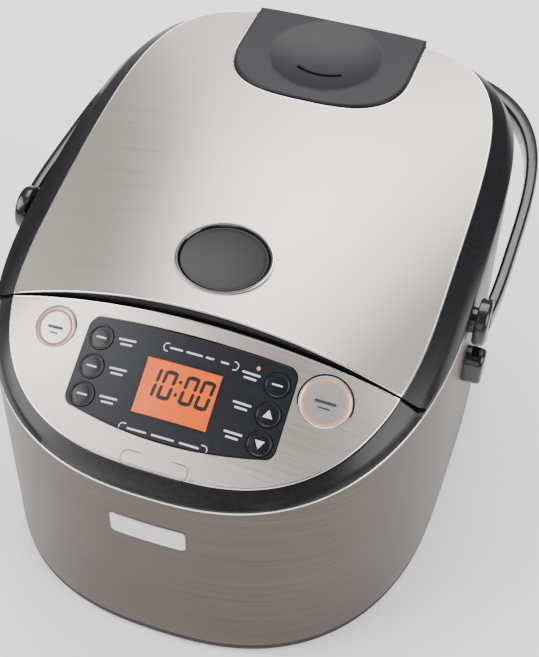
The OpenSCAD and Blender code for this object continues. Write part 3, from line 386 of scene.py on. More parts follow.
def ring_from_seam(share, inset, y, rear):
    """The closed outline behind the line y (the lid) or ahead of it (the panel)."""
    depth = WIDEST_Y - FRONT_Y - share * BAND_FRONT - inset
    power = FRONT_POWER + 0.4 * share
    half_w = BODY_HALF_W - share * BAND_SIDE - inset
    x = half_w * (1 - ((WIDEST_Y - y) / depth) ** power) ** (1 / power)
    start = math.atan2(y - WIDEST_Y, x)
    low, high = (start, math.pi - start) if rear else (math.pi - start, math.tau + start)
    arc = [outline_at(mix(low, high, i / ARC_STEPS), share, inset) for i in range(ARC_STEPS + 1)]
    side = 1 if rear else -1
    seam = [(mix(-x, x, i / SEAM_STEPS) * side, y) for i in range(1, SEAM_STEPS)]
    return arc + seam


def raised(ring, height):
    return [(x, y, height(x, y)) for x, y in ring]


panel_edge_y = SEAM_Y - SEAM_GAP


def panel_row(share, inset, height, y=panel_edge_y):
    return raised(ring_from_seam(share, inset, y, False), height)


bezel_drop = COVER_WALL + SKIN_SEAT
front_band = new_piece(
    "front_band",
    loft(
        [
            panel_row(1, 7, lambda x, y: panel_z(x, y) - bezel_drop, panel_edge_y - 7),
            panel_row(1, -0.4, lambda x, y: panel_z(x, y) - bezel_drop + 0.4),
            panel_row(1, -1.1, lambda x, y: panel_z(x, y) - bezel_drop + 0.1),
            panel_row(
                CREASE_SHARE + 0.04, 0,
                lambda x, y: mix(steel_z(y), panel_z(x, y), CREASE_HEIGHT + 0.03),
            ),
            panel_row(
                CREASE_SHARE - 0.03, 0,
                lambda x, y: mix(steel_z(y), panel_z(x, y), CREASE_HEIGHT - 0.04),
            ),
            panel_row(0.04, 0, lambda x, y: steel_z(y) + 1.4),
            panel_row(0, 0.1, lambda x, y: steel_z(y) + 0.5),
            panel_row(0, 1.3, lambda x, y: steel_z(y) + 0.1),
            panel_row(0, 1.3, lambda x, y: steel_z(y) - 9.8),
            panel_row(0, 3.5, lambda x, y: steel_z(y) - 9.8, panel_edge_y - 1.6),
            panel_row(1, 7, lambda x, y: panel_z(x, y) - bezel_drop - 2.4, panel_edge_y - 7),
        ],
        closed=True,
    ),
    "root",
    band_plastic,
    30,
)
keeper_low, keeper_high = box_mm("latch_keeper")
cut(
    front_band,
    prism(
        [
            (keeper_low.x - 0.2, SEAM_Y - 9), (keeper_high.x + 0.2, SEAM_Y - 9),
            (keeper_high.x + 0.2, SEAM_Y + 5), (keeper_low.x - 0.2, SEAM_Y + 5),
        ],
        keeper_low.z - 0.2, keeper_high.z + 0.2,
    ),
    30,
)
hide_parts("control_bezel")

lid_edge_y = SEAM_Y + SEAM_GAP


def lid_row(share, inset, height, rake=0.0):
    return raised(ring_from_seam(share, inset, lid_edge_y + rake, True), height)


lid_drop = SKIN_WALL + SKIN_SEAT
lid_band = new_piece(
    "lid_band",
    loft(
        [
            lid_row(1, 5, lambda x, y: lid_z(x, y) - lid_drop, 5),
            lid_row(1, -0.4, lambda x, y: lid_z(x, y) - lid_drop + 0.3),
            lid_row(1, -1.1, lambda x, y: lid_z(x, y) - lid_drop - 0.1),
            lid_row(
                CREASE_SHARE + 0.04, 0,
                lambda x, y: mix(split_z(y), lid_z(x, y), CREASE_HEIGHT + 0.03), 0.38 * LID_RAKE,
            ),
            lid_row(
                CREASE_SHARE - 0.03, 0,
                lambda x, y: mix(split_z(y), lid_z(x, y), CREASE_HEIGHT - 0.04), 0.44 * LID_RAKE,
            ),
            lid_row(0.04, 0, lambda x, y: split_z(y) + 2.0, 0.94 * LID_RAKE),
            lid_row(0, 0.1, lambda x, y: split_z(y) + 0.9, LID_RAKE),
            lid_row(0, 0.6, lambda x, y: split_z(y) + 0.5, LID_RAKE),
            lid_row(0, LID_WALL, lambda x, y: split_z(y) + 0.5, LID_RAKE + LID_WALL),
            lid_row(1, 5, lambda x, y: lid_z(x, y) - lid_drop - 2.4, 5),
        ],
        closed=True,
    ),
    "lid",
    band_plastic,
    30,
)

# Plan of the steam vent's cap: a half oval in front, straight sides and an open rear.
VENT_Y = PAN_Y + 106.2
VENT_HALF_W = 60
VENT_FRONT = 50
VENT_POWER = 2.7
TUB_REAR_Y = REAR_Y - 6


def vent_plan(grow, rear, steps=96):
    arc = []
    for i in range(steps + 1):
        angle = math.tau - math.pi * i / steps
        r = oval_r(angle, VENT_HALF_W + grow, VENT_FRONT + grow, VENT_POWER)
        arc.append((r * math.cos(angle), VENT_Y + r * math.sin(angle)))
    return [(VENT_HALF_W + grow, rear)] + arc + [(-VENT_HALF_W - grow, rear)]


TUB_FLOOR_Z = lid_z(0, VENT_Y) - 9.5
CAP_LIP_Z = lid_z(0, REAR_Y) - 8.4
cut(lid_band, prism(list(reversed(vent_plan(0.8, TUB_REAR_Y + 0.2))), TUB_FLOOR_Z - 1.5, 300), 30)
cut(
    lid_band,
    prism(
        [
            (-VENT_HALF_W - 0.8, TUB_REAR_Y - 2), (VENT_HALF_W + 0.8, TUB_REAR_Y - 2),
            (VENT_HALF_W + 0.8, REAR_Y + 9), (-VENT_HALF_W - 0.8, REAR_Y + 9),
        ],
        CAP_LIP_Z - 0.6, 300,
    ),
    30,
)
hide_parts("lid_frame")


# ------------------------------------------------------------------------------- lid skin
# The lid wears a thin sheet of champagne stainless steel, pressed to a crown and brushed from
# side to side. Its edge bead is coloured near-white as a painted highlight, and it is cut out for the
# button and the steam vent.
skin_steel, shader = new_material("stainless_steel_satin_champagne", Metallic=1.0, Anisotropic=0.3)
grained(
    skin_steel, shader, ("#c4bcb2", "#d1cac1"), (10, GRAIN_PER_M, 10), (0.36, 0.46), (0.08, 0.00005)
)

BUTTON_HALF_W = 27
BUTTON_HALF_D = 24
BUTTON_Y = SEAM_Y + 39.8
RING_WALL = 2.4
button_tilt = math.atan(LID_RISE - 2 * LID_BEND * (BUTTON_Y - SEAM_Y))
button_place = Matrix.Translation((0, BUTTON_Y, lid_z(0, BUTTON_Y))) @ Matrix.Rotation(button_tilt, 4, "X")


def inside(point, loop):
    """Whether a plan point lies in a loop."""
    x, y = point
    found = False
    for (xa, ya), (xb, yb) in zip(loop, loop[1:] + loop[:1]):
        if (ya > y) != (yb > y) and x < (xb - xa) * (y - ya) / (yb - ya) + xa:
            found = not found
    return found


def sheet(name, edge, holes, height, wall, spacing, body, material, lines=()):
    """A sheet with holes over a crowned surface, with the surface's own normals."""
    loops = [edge] + list(holes) + list(lines)
    points = [Vector(p) for loop in loops for p in loop]
    borders = []
    start = 0
    for loop in loops:
        borders += [(start + i, start + (i + 1) % len(loop)) for i in range(len(loop))]
        start += len(loop)
    lows = [min(p[a] for p in edge) for a in (0, 1)]
    highs = [max(p[a] for p in edge) for a in (0, 1)]
    for j in range(int((highs[1] - lows[1]) / spacing) + 1):
        for i in range(int((highs[0] - lows[0]) / spacing) + 1):
            spot = (lows[0] + (i + 0.5) * spacing, lows[1] + (j + 0.5) * spacing)
            near = any(
                (spot[0] - p[0]) ** 2 + (spot[1] - p[1]) ** 2 < (0.4 * spacing) ** 2
                for loop in loops for p in loop
            )
            if not near and inside(spot, edge) and not any(inside(spot, h) for h in holes):
                points.append(Vector(spot))
    plan, _, faces, _, _, _ = delaunay_2d_cdt(points, borders, [], 1, 1e-5)
    kept = []
    for face in faces:
        middle = sum((plan[i] for i in face), Vector((0, 0))) / len(face)
        if inside(middle, edge) and not any(inside(middle, h) for h in holes):
            a, b, c = (plan[i] for i in face[:3])
            turn = (b - a).cross(c - a)
            kept.append(tuple(face) if turn > 0 else tuple(reversed(face)))
    top = [(p.x, p.y, height(p.x, p.y)) for p in plan]
    count = len(top)
    shape_points = top + [(x, y, z - wall) for x, y, z in top]
    shape_faces = kept + [tuple(count + i for i in reversed(face)) for face in kept]
    normals = []
    for x, y, _ in top:
        dx = (height(x + 0.05, y) - height(x - 0.05, y)) / 0.1
        dy = (height(x, y + 0.05) - height(x, y - 0.05)) / 0.1
        normals.append(Vector((-dx, -dy, 1)).normalized())
    normals += [-n for n in normals]
    sides = {}
    for face in kept:
        for a, b in zip(face, face[1:] + face[:1]):
            if (b, a) in sides:
                del sides[(b, a)]
            else:
                sides[(a, b)] = True
    for a, b in sides:
        start = len(shape_points)
        for i in (a, b, b + count, a + count):
            shape_points.append(shape_points[i])
        ax, ay = top[a][0], top[a][1]
        bx, by = top[b][0], top[b][1]
        out = Vector((by - ay, ax - bx, 0)).normalized()
        normals += [out] * 4
        shape_faces.append((start + 1, start, start + 3, start + 2))
    mesh = bpy.data.meshes.new(name)
    mesh.from_pydata([Vector(p) * 0.001 for p in shape_points], [], shape_faces)
    mesh.update()
    mesh.shade_smooth()
    mesh.normals_split_custom_set_from_vertices(normals)
    mesh.materials.append(material)
    piece = bpy.data.objects.new(name, mesh)
    bpy.context.scene.collection.objects.link(piece)
    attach(piece, body)
    return piece


def along_edge(name, loop, height, profile, body, material):
    """A closed strip that follows a plan loop. profile holds (outward, up) pairs."""
    count = len(loop)
    outward = []
    for i in range(count):
        (xa, ya), (xb, yb) = loop[i - 1], loop[(i + 1) % count]
        outward.append(Vector((yb - ya, xa - xb)).normalized())
    rows = [
        [
            (p[0] + n.x * out, p[1] + n.y * out, height(p[0] + n.x * out, p[1] + n.y * out) + up)
            for p, n in zip(loop, outward)
        ]
        for out, up in profile
    ]
    return new_piece(name, loft(rows, closed=True), body, material, 50)


def oval(half_w, half_d, y, steps=120):
    return [
        (half_w * math.cos(math.tau * i / steps), y + half_d * math.sin(math.tau * i / steps))
        for i in range(steps)
    ]


def thinned(loop, gap):
    """A loop without points nearer than gap to the one before."""
    kept = [loop[0]]
    for p in loop[1:]:
        if math.dist(p, kept[-1]) >= gap:
            kept.append(p)
    return kept


# The skin's border: the lid's outline, broken at the rear by the vent's notch.
lid_outline = ring_from_seam(1, 0, lid_edge_y, True)
notch = vent_plan(0.8, REAR_Y + 20)[1:-1]
right = [p for p in lid_outline[: ARC_STEPS + 1] if p[0] > VENT_HALF_W + 0.8 or p[1] < VENT_Y]
right = [p for p in right if p[0] > 0]
left = [p for p in lid_outline if p[0] < -VENT_HALF_W - 0.8 or (p[0] <= 0 and p[1] < VENT_Y)]
seam_line = [p for p in lid_outline[ARC_STEPS + 1 :] if p[0] > 0]
notch_rear_y = max(p[1] for p in lid_outline if abs(p[0]) > VENT_HALF_W + 0.8) + 0.1
skin_border = (
    right
    + [(VENT_HALF_W + 0.8, mix(notch_rear_y, VENT_Y, i / 12)) for i in range(12)]
    + notch
    + [(-VENT_HALF_W - 0.8, mix(VENT_Y, notch_rear_y, i / 12)) for i in range(1, 13)]
    + left
    + seam_line
)
skin_border = thinned(skin_border, 0.4)
button_hole = oval(
    BUTTON_HALF_W + RING_WALL + 0.1,
    (BUTTON_HALF_D + RING_WALL + 0.1) * math.cos(button_tilt),
    BUTTON_Y,
)
lid_skin = sheet("lid_skin_sheet", skin_border, [button_hole], lid_z, SKIN_WALL, 5, "lid", skin_steel)
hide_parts("lid_skin")
EDGE_BEAD_PROFILE = [(0.15, -0.9), (0.25, -0.35), (0.05, 0.0), (-0.35, 0.12), (-0.75, 0.02), (-0.8, -0.5)]
# The bead round the skin's edge is coloured near-white, a painted highlight.
lid_edge = along_edge("lid_skin_edge_painted_highlight", skin_border, lid_z, EDGE_BEAD_PROFILE, "lid", painted_highlight_steel)


# ------------------------------------------------------------------------------- lid button
# The button that opens the lid: a dished oval of dark grey ABS in a gloss black ring. It
# sinks four millimetres on a coil spring and its stem draws back the bolt.
gloss_plastic, shader = new_material("abs_polished_black", IOR=1.54, Coat_Weight=0.4, Coat_Roughness=0.08)
grained(gloss_plastic, shader, ("#08080a", "#0d0d0f"), (90, 90, 90), (0.12, 0.2), (0.02, 0.00002))
button_plastic, shader = new_material("abs_moulded_satin_grey", IOR=1.54, Specular_IOR_Level=0.25)
grained(button_plastic, shader, ("#1d1d1f", "#242426"), (700, 700, 700), (0.36, 0.46), (0.1, 0.00005))

RING_FLOOR = 14
STEM_R = 5
KEY_GAP = 0.3


def placed(place, rows):
    return [[place @ Vector(p) for p in row] for row in rows]


def oval_row(half_w, half_d, z, steps=120):
    return [(x, y, z) for x, y in oval(half_w, half_d, 0, steps)]


def button_row(grow, z):
    return oval_row(BUTTON_HALF_W + grow, BUTTON_HALF_D + grow, z)


def fan_caps(shape, first=True, last=True, count=120):
    """Closes the first and last rows of a loft with a middle point each."""
    points, faces = shape
    points = list(points)
    faces = list(faces)
    if first:
        points.append(sum((Vector(p) for p in points[:count]), Vector()) / count)
        faces += [(len(points) - 1, (i + 1) % count, i) for i in range(count)]
    if last:
        start = len(points) - count - (1 if first else 0)
        points.append(sum((Vector(p) for p in points[start : start + count]), Vector()) / count)
        faces += [(len(points) - 1, start + i, start + (i + 1) % count) for i in range(count)]
    return points, faces


ring_rows = [
    button_row(RING_WALL, -RING_FLOOR - 2), button_row(RING_WALL, -0.4), button_row(RING_WALL - 0.2, 0.2),
    button_row(RING_WALL - 0.7, 0.6), button_row(RING_WALL - 1.4, 0.5), button_row(0.5, -0.1),
    button_row(0.1, -0.7), button_row(0.0, -1.4), button_row(0.0, -RING_FLOOR),
    oval_row(STEM_R + 0.05, STEM_R + 0.05, -RING_FLOOR),
    oval_row(STEM_R + 0.05, STEM_R + 0.05, -RING_FLOOR - 2),
]
button_ring = new_piece(
    "lid_button_ring", loft(placed(button_place, ring_rows), closed=True), "lid", gloss_plastic
)
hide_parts("button_ring")
# A bead round the button's hole in the skin, coloured near-white as a painted highlight.
ring_edge = new_piece(
    "lid_button_ring_edge",
    loft(
        placed(
            button_place,
            [
                button_row(RING_WALL + 0.05, -0.6), button_row(RING_WALL + 0.45, -0.1),
                button_row(RING_WALL + 0.2, 0.3), button_row(RING_WALL - 0.35, 0.45),
                button_row(RING_WALL - 0.4, -0.2),
            ],
        ),
        closed=True,
    ),
    "lid",
    painted_highlight_steel,
)

BUTTON_DISH = 2.0
dish_rows = [
    (
        [
            (x * s, y * s, -0.75 - BUTTON_DISH * (1 - s * s))
            for x, y in oval(BUTTON_HALF_W - KEY_GAP - 1.6, BUTTON_HALF_D - KEY_GAP - 1.6, 0)
        ]
    )
    for s in (0.12, 0.3, 0.48, 0.65, 0.8, 0.92, 1.0)
]
button_rows = dish_rows + [
    button_row(-KEY_GAP - 1.0, -0.5), button_row(-KEY_GAP - 0.4, -0.55), button_row(-KEY_GAP, -1.0),
    button_row(-KEY_GAP, -2.9), oval_row(STEM_R, STEM_R, -4.9), oval_row(STEM_R, STEM_R, -27),
]
button_top = new_piece(
    "lid_button_cap", fan_caps(loft(placed(button_place, button_rows))), "lid_button", button_plastic
)
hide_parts("lid_button")


# ------------------------------------------------------------------------------- steam vent
# The cap over the steam vent: satin grey polypropylene with a shallow dish for a finger and a
# curved slot that lets the steam out. It lifts out of its socket with the cup below it.
cap_plastic, shader = new_material("polypropylene_moulded_satin_grey", IOR=1.5, Specular_IOR_Level=0.25)
grained(cap_plastic, shader, ("#202022", "#27272a"), (800, 800, 800), (0.34, 0.44), (0.12, 0.00005))

vent_tilt = math.atan(LID_RISE - 2 * LID_BEND * (VENT_Y - SEAM_Y))
CAP_TOP_Z = lid_z(0, VENT_Y) + 0.5
CAP_WALL = 2.2
CAP_ROUND = 1.2
DISH_R = 38
DISH_DEPTH = 4.6
DISH_BALL = (DISH_R**2 + DISH_DEPTH**2) / (2 * DISH_DEPTH)
SLOT_R = 34
SLOT_MIDDLE_Y = VENT_Y + 16.6
SLOT_HALF_W = 1.5


def cap_plane(y):
    return CAP_TOP_Z + math.tan(vent_tilt) * (y - VENT_Y)


def rear_edge(x):
    """The rear line of the cap, which follows the outline of the body."""
    half_w = BODY_HALF_W - CREASE_SHARE * BAND_SIDE
    depth = REAR_Y - WIDEST_Y - CREASE_SHARE * BAND_REAR
    power = REAR_POWER + 0.12 * CREASE_SHARE
    return WIDEST_Y + depth * (1 - abs(x / half_w) ** power) ** (1 / power)


def cap_loop(grow):
    front = vent_plan(grow, 0)[1:-1]
    side_x = VENT_HALF_W + grow
    rear = [mix(-side_x, side_x, i / 24) for i in range(25)]
    left_side = [(-side_x, mix(VENT_Y, rear_edge(side_x) + grow, i / 10)) for i in range(1, 10)]
    right_side = [(side_x, mix(rear_edge(side_x) + grow, VENT_Y, i / 10)) for i in range(1, 10)]
    return list(reversed(front + left_side + [(x, rear_edge(x) + grow) for x in rear] + right_side))


def cap_surface(x, y):
    """The cap's upper surface: a plane with a spherical dish, rounded down at its edge."""
    r = math.hypot(x, y - VENT_Y)
    sink = 0.0
    if r < DISH_R:
        sink = math.sqrt(DISH_BALL**2 - r * r) - (DISH_BALL - DISH_DEPTH)
    return cap_plane(y) - sink


def slot_loop(grow):
    reach = math.asin(15.5 / SLOT_R)
    half = SLOT_HALF_W + grow
    loop = []
    for turn, r in ((1, SLOT_R + half), (-1, SLOT_R - half)):
        for i in range(25):
            a = -math.pi / 2 + turn * mix(-reach, reach, i / 24)
            loop.append((r * math.cos(a), SLOT_MIDDLE_Y + r * math.sin(a)))
    return loop


def circle(x, y, r, steps=96):
    return [
        (x + r * math.cos(math.tau * i / steps), y + r * math.sin(math.tau * i / steps))
        for i in range(steps)
    ]


dish_line = circle(0, VENT_Y, DISH_R)
cap_top = sheet(
    "vent_cap_top", cap_loop(-CAP_ROUND), [slot_loop(0)], cap_surface, CAP_WALL, 3.5, "steam_vent",
    cap_plastic, lines=[dish_line, circle(0, VENT_Y, DISH_R - 0.8)],
)
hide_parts("vent_cap")


def cap_row(grow, drop):
    return [(x, y, cap_plane(y) - drop) for x, y in cap_loop(grow)]


cap_side = new_piece(
    "vent_cap_edge",
    loft(
        [
            cap_row(-CAP_ROUND - 0.3, 0.0), cap_row(-CAP_ROUND, 0.0), cap_row(-0.6, 0.15),
            cap_row(-0.15, 0.6), cap_row(0.0, 1.2), cap_row(0.0, CAP_WALL), cap_row(-2.0, CAP_WALL),
        ],
        closed=True,
    ),
    "steam_vent",
    cap_plastic,
)

LIP_FRONT_IN = 4.0
lip_x = [mix(-VENT_HALF_W, VENT_HALF_W, i / 24) for i in range(25)]
lip = new_piece(
    "vent_cap_rear_lip",
    loft(
        [
            [(x, rear_edge(x) - 1.6, cap_plane(rear_edge(x)) - 1.0) for x in lip_x],
            [(x, rear_edge(x), cap_plane(rear_edge(x)) - 1.0) for x in lip_x],
            [(x, rear_edge(x), CAP_LIP_Z + 0.5) for x in lip_x],
            [(x, rear_edge(x) - 0.4, CAP_LIP_Z) for x in lip_x],
            [(x, rear_edge(x) - LIP_FRONT_IN + 1.8, CAP_LIP_Z) for x in lip_x],
            [(x, rear_edge(x) - LIP_FRONT_IN + 1.8, cap_plane(rear_edge(x)) - 1.2) for x in lip_x],
        ],
        closed=True,
        around=False,
    ),
    "steam_vent",
    cap_plastic,
)

skirt_outer = vent_plan(-1.2, TUB_REAR_Y - 1.8)
skirt_inner = vent_plan(-2.8, TUB_REAR_Y - 3.4)
cap_skirt = new_piece(
    "vent_cap_skirt",
    loft(
        [
            [(x, y, cap_plane(y) - CAP_WALL + 0.1) for x, y in skirt_outer],
            [(x, y, TUB_FLOOR_Z + 0.4) for x, y in skirt_outer],
            [(x, y, TUB_FLOOR_Z + 0.4) for x, y in skirt_inner],
            [(x, y, cap_plane(y) - CAP_WALL + 0.1) for x, y in skirt_inner],
        ],
        closed=True,
    ),
    "steam_vent",
    cap_plastic,
)

# The gloss strip that frames the cap, seated in the lid's notch.
surround_plan = vent_plan(0.35, REAR_Y - 8)
surround_sides = []
for i in range(len(surround_plan)):
    after = Vector(surround_plan[min(i + 1, len(surround_plan) - 1)])
    before = Vector(surround_plan[max(i - 1, 0)])
    along = (after - before).normalized()
    surround_sides.append((-along.y, along.x))
surround = new_piece(
    "vent_surround",
    loft(
        [
            [
                (x + nx * out, y + ny * out, lid_z(x, y) + up)
                for (x, y), (nx, ny) in zip(surround_plan, surround_sides)
            ]
            for out, up in [(-0.25, -0.9), (-0.25, 0.1), (0.2, 0.15), (0.4, -0.2), (0.4, -0.9)]
        ],
        closed=True,
        around=False,
    ),
    "lid",
    gloss_plastic,
)


# ------------------------------------------------------------------------------- control panel
# The sloping panel in front of the lid: a brushed steel sheet round a printed film. Each small key
# is a domed spot of the film with a raised rim, and the film's window is lit amber.
film_plastic, shader = new_material(
    "polycarbonate_film_printed_black", IOR=1.58, Specular_IOR_Level=0.3
)
grained(film_plastic, shader, ("#101217", "#14161b"), (300, 300, 300), (0.36, 0.44), (0.05, 0.00003))
key_film, shader = new_material("polycarbonate_film_embossed_key", IOR=1.58, Specular_IOR_Level=0.3)
grained(key_film, shader, ("#0c0e12", "#101216"), (600, 600, 600), (0.3, 0.4), (0.04, 0.00003))
silver_paint, shader = new_material("abs_painted_satin_silver", Metallic=0.75, IOR=1.5)
grained(silver_paint, shader, ("#b9b6b1", "#c9c6c1"), (900, 900, 900), (0.34, 0.44), (0.06, 0.00003))
print_white, shader = new_material("screen_print_white", IOR=1.5)
grained(print_white, shader, ("#c9cacb", "#dcdddd"), (1500, 1500, 1500), (0.45, 0.6), (0.05, 0.00001))
print_grey, shader = new_material("screen_print_dark_grey", IOR=1.5)
grained(print_grey, shader, ("#2c2c2f", "#39393c"), (1500, 1500, 1500), (0.45, 0.6), (0.05, 0.00001))
print_red, shader = new_material("screen_print_red", IOR=1.5)
grained(print_red, shader, ("#a93f4d", "#bd5562"), (1500, 1500, 1500), (0.4, 0.55), (0.05, 0.00001))
print_orange, shader = new_material("screen_print_orange", IOR=1.5)
grained(print_orange, shader, ("#d98a5b", "#e6a077"), (1500, 1500, 1500), (0.4, 0.55), (0.05, 0.00001))
lcd_amber, shader = new_material(
    "polycarbonate_window_lit_amber", IOR=1.58, Emission_Strength=0.4, Coat_Weight=0.2
)
grained(lcd_amber, shader, ("#c84e04", "#d65a08"), (40, 40, 40), (0.22, 0.3), (0.02, 0.00001))
shader.inputs["Emission Color"].default_value = linear("#ff6a00")
lcd_black, shader = new_material("liquid_crystal_segment_black", IOR=1.5)
grained(lcd_black, shader, ("#14110f", "#1d1916"), (900, 900, 900), (0.3, 0.4), (0.02, 0.00001))

INLAY_HALF_W = 64
INLAY_TOP_Y = SEAM_Y - 8.2
INLAY_SIDE_Y = SEAM_Y - 55.4
INLAY_BOW = 6.6
INLAY_CORNER = 6


def inlay_plan(grow):
    w = INLAY_HALF_W + grow
    c = INLAY_CORNER
    corner = [(c * math.cos(math.radians(9 * i)), c * math.sin(math.radians(9 * i))) for i in range(11)]
    loop = [(w - c + x, INLAY_TOP_Y + grow - c + y) for x, y in corner]
    loop += [(mix(w - c, c - w, i / 32), INLAY_TOP_Y + grow) for i in range(1, 32)]
    loop += [(c - w - x, INLAY_TOP_Y + grow - c + y) for x, y in reversed(corner)]
    loop += [(-w, mix(INLAY_TOP_Y - c, INLAY_SIDE_Y + c, i / 8)) for i in range(1, 8)]
    loop += [(c - w - x, INLAY_SIDE_Y - grow + c - y) for x, y in corner]
    for i in range(-15, 16):
        s = i / 16
        loop.append((s * (w - c), INLAY_SIDE_Y - grow - INLAY_BOW * (1 - s * s)))
    loop += [(w - c + x, INLAY_SIDE_Y - grow + c - y) for x, y in reversed(corner)]
    loop += [(w, mix(INLAY_SIDE_Y + c, INLAY_TOP_Y - c, i / 8)) for i in range(1, 8)]
    return loop


# Keys: node, x, distance ahead of the seam, radius.
SMALL_X = 54
KEY_R = 7.6
BIG_KEYS = {"key_cancel": (-84.5, 17.5, 12.7), "key_start": (82.5, 18.6, 15.4)}
SMALL_KEYS = {
    "key_menu": (-SMALL_X, 18.8, KEY_R), "key_warm": (-SMALL_X, 34, KEY_R),
    "key_extended": (-SMALL_X, 48.8, KEY_R), "key_timer": (SMALL_X, 18.8, KEY_R),
    "key_up": (SMALL_X, 34, KEY_R), "key_down": (SMALL_X, 48.8, KEY_R),
}


def key_place(key):
    x, ahead, _ = key
    y = SEAM_Y - ahead
    lean = math.atan(2 * panel_bow(y) * x * math.cos(PANEL_SLOPE))
    turn = Matrix.Rotation(PANEL_SLOPE, 4, "X") @ Matrix.Rotation(lean, 4, "Y")
    return Matrix.Translation((x, y, panel_z(x, y))) @ turn


def key_loop(key, r, steps=64):
    place = key_place(key)
    spots = [place @ Vector((x, y, 0)) for x, y in circle(0, 0, r, steps)]
    return [(p.x, p.y) for p in spots]


def turned(profile, place, steps=72):
    """A turned solid from (radius, height) pairs, closed with a point at each end."""
    rows = [
        [(r * math.cos(math.tau * i / steps), r * math.sin(math.tau * i / steps), z) for i in range(steps)]
        for r, z in profile
    ]
    return fan_caps(loft(placed(place, rows)), count=steps)


cover = sheet(
    "control_cover_sheet", ring_from_seam(1, 0, panel_edge_y, False),
    [inlay_plan(0)] + [key_loop(k, k[2] + KEY_GAP) for k in BIG_KEYS.values()],
    panel_z, COVER_WALL, 5, "root", skin_steel,
)
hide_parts("control_cover")
# The bead round the cover's edge is coloured near-white, a painted highlight.
cover_edge = along_edge(
    "control_cover_edge_painted_highlight", thinned(ring_from_seam(1, 0, panel_edge_y, False), 0.4), panel_z, EDGE_BEAD_PROFILE,
    "root", painted_highlight_steel,
)

WINDOW_HALF_W = 23.2
WINDOW_HALF_D = 14.5
WINDOW_Y = SEAM_Y - 37


def rectangle(half_w, half_d, y, x=0.0):
    corners = [
        (x - half_w, y - half_d), (x + half_w, y - half_d),
        (x + half_w, y + half_d), (x - half_w, y + half_d),
    ]
    loop = []
    for (xa, ya), (xb, yb) in zip(corners, corners[1:] + corners[:1]):
        loop += [(mix(xa, xb, i / 8), mix(ya, yb, i / 8)) for i in range(8)]
    return loop


film = sheet(
    "display_film", inlay_plan(-0.15),
    [rectangle(WINDOW_HALF_W + 0.1, WINDOW_HALF_D + 0.1, WINDOW_Y)]
    + [key_loop(k, k[2] + KEY_GAP) for k in SMALL_KEYS.values()],
    panel_z, COVER_WALL, 4, "root", film_plastic,
)
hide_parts("display_inlay")
film_edge = along_edge(
    "display_film_edge", inlay_plan(0), panel_z,
    [(-0.5, -0.3), (-0.45, 0.05), (0.0, 0.15), (0.4, 0.05), (0.45, -0.3)], "root", gloss_plastic,
)
window = sheet(
    "display_window_amber", rectangle(WINDOW_HALF_W, WINDOW_HALF_D, WINDOW_Y), [],
    lambda x, y: panel_z(x, y) - 0.1, COVER_WALL - 0.1, 4, "root", lcd_amber,
)
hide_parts("display_window")

for name, key in SMALL_KEYS.items():
    r = key[2]
    dome = [(r * 0.1, 0.42), (r * 0.4, 0.38), (r * 0.62, 0.28), (r - 2.0, 0.12), (r - 1.6, 0.14)]
    rim = [(r - 1.2, 0.5), (r - 0.8, 0.72), (r - 0.4, 0.66), (r - 0.1, 0.3), (r, -0.1), (r, -4.9)]
    stem = [(r + 0.8, -5.0), (r + 0.8, -6.2), (2.5, -6.2), (2.5, -16.6)]
    cap = new_piece(name + "_dome", turned(dome + rim + stem, key_place(key)), name, key_film)
    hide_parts(name)


def ring_on_key(key, profile):
    """A closed ring round a key, from (radius, height) pairs."""
    rows = [[(x, y, z) for x, y in circle(0, 0, radius, 96)] for radius, z in profile]
    return loft(placed(key_place(key), rows), closed=True)


for name, key in BIG_KEYS.items():
    r = key[2]
    face = [(r * 0.1, 0.55), (r * 0.5, 0.5), (r - 3.6, 0.35), (r - 3.2, 0.3), (r - 1.5, 0.32)]
    rim = [(r - 1.1, 0.62), (r - 0.6, 0.7), (r - 0.2, 0.45), (r, 0.0), (r, -4.9)]
    stem = [(r - 2, -5.0), (r - 2, -6.2), (2.5, -6.2), (2.5, -13)]
    cap = new_piece(name + "_disc", turned(face + rim + stem, key_place(key), 96), name, silver_paint)
    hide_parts(name)
    band = [(r - 3.1, 0.28), (r - 3.0, 0.42), (r - 1.9, 0.42), (r - 1.8, 0.28)]
    ring = new_piece(
        name + "_printed_ring",
        ring_on_key(key, band),
        name,
        print_red if name == "key_cancel" else print_orange,
    )
    moat = [(r + 0.25, -1.2), (r + 0.2, 0.12), (r + 0.7, 0.16), (r + 1.0, -0.1), (r + 0.9, -1.2)]
    collar = new_piece(
        name + "_collar",
        ring_on_key(key, moat),
        "root",
        gloss_plastic,
    )

# Printed marks: generic bars, pills and arrows, and the digits of the clock.
PRINT_LIFT = 0.04


def decal(name, loops, body, material, place=None, lift=PRINT_LIFT):
    """Flat printed shapes on the panel, or on a placed key, as one thin mesh."""
    points, faces = [], []
    for loop in loops:
        start = len(points)
        if place is None:
            points += [(x, y, panel_z(x, y) + lift) for x, y in loop]
        else:
            points += [place @ Vector((x, y, lift)) for x, y in loop]
        faces.append(tuple(range(start, start + len(loop))))
    mark = new_piece(name, (points, faces), body, material)
    return mark


def pill(x, y, half_w, half_d, steps=10):
    """A bar with round ends, lying along X."""
    loop = []
    for side in (1, -1):
        for i in range(steps + 1):
            a = -math.pi / 2 + math.pi * i / steps
            along = half_w - half_d + half_d * math.cos(a)
            loop.append((x + side * along, y + side * half_d * math.sin(a)))
    return loop


def pill_ring(x, y, half_w, half_d, line):
    """The outline of a pill as narrow quads."""
    outer, inner = pill(x, y, half_w, half_d), pill(x, y, half_w - line, half_d - line)
    return [
        [outer[i - 1], outer[i], inner[i], inner[i - 1]] for i in range(len(outer))
    ]


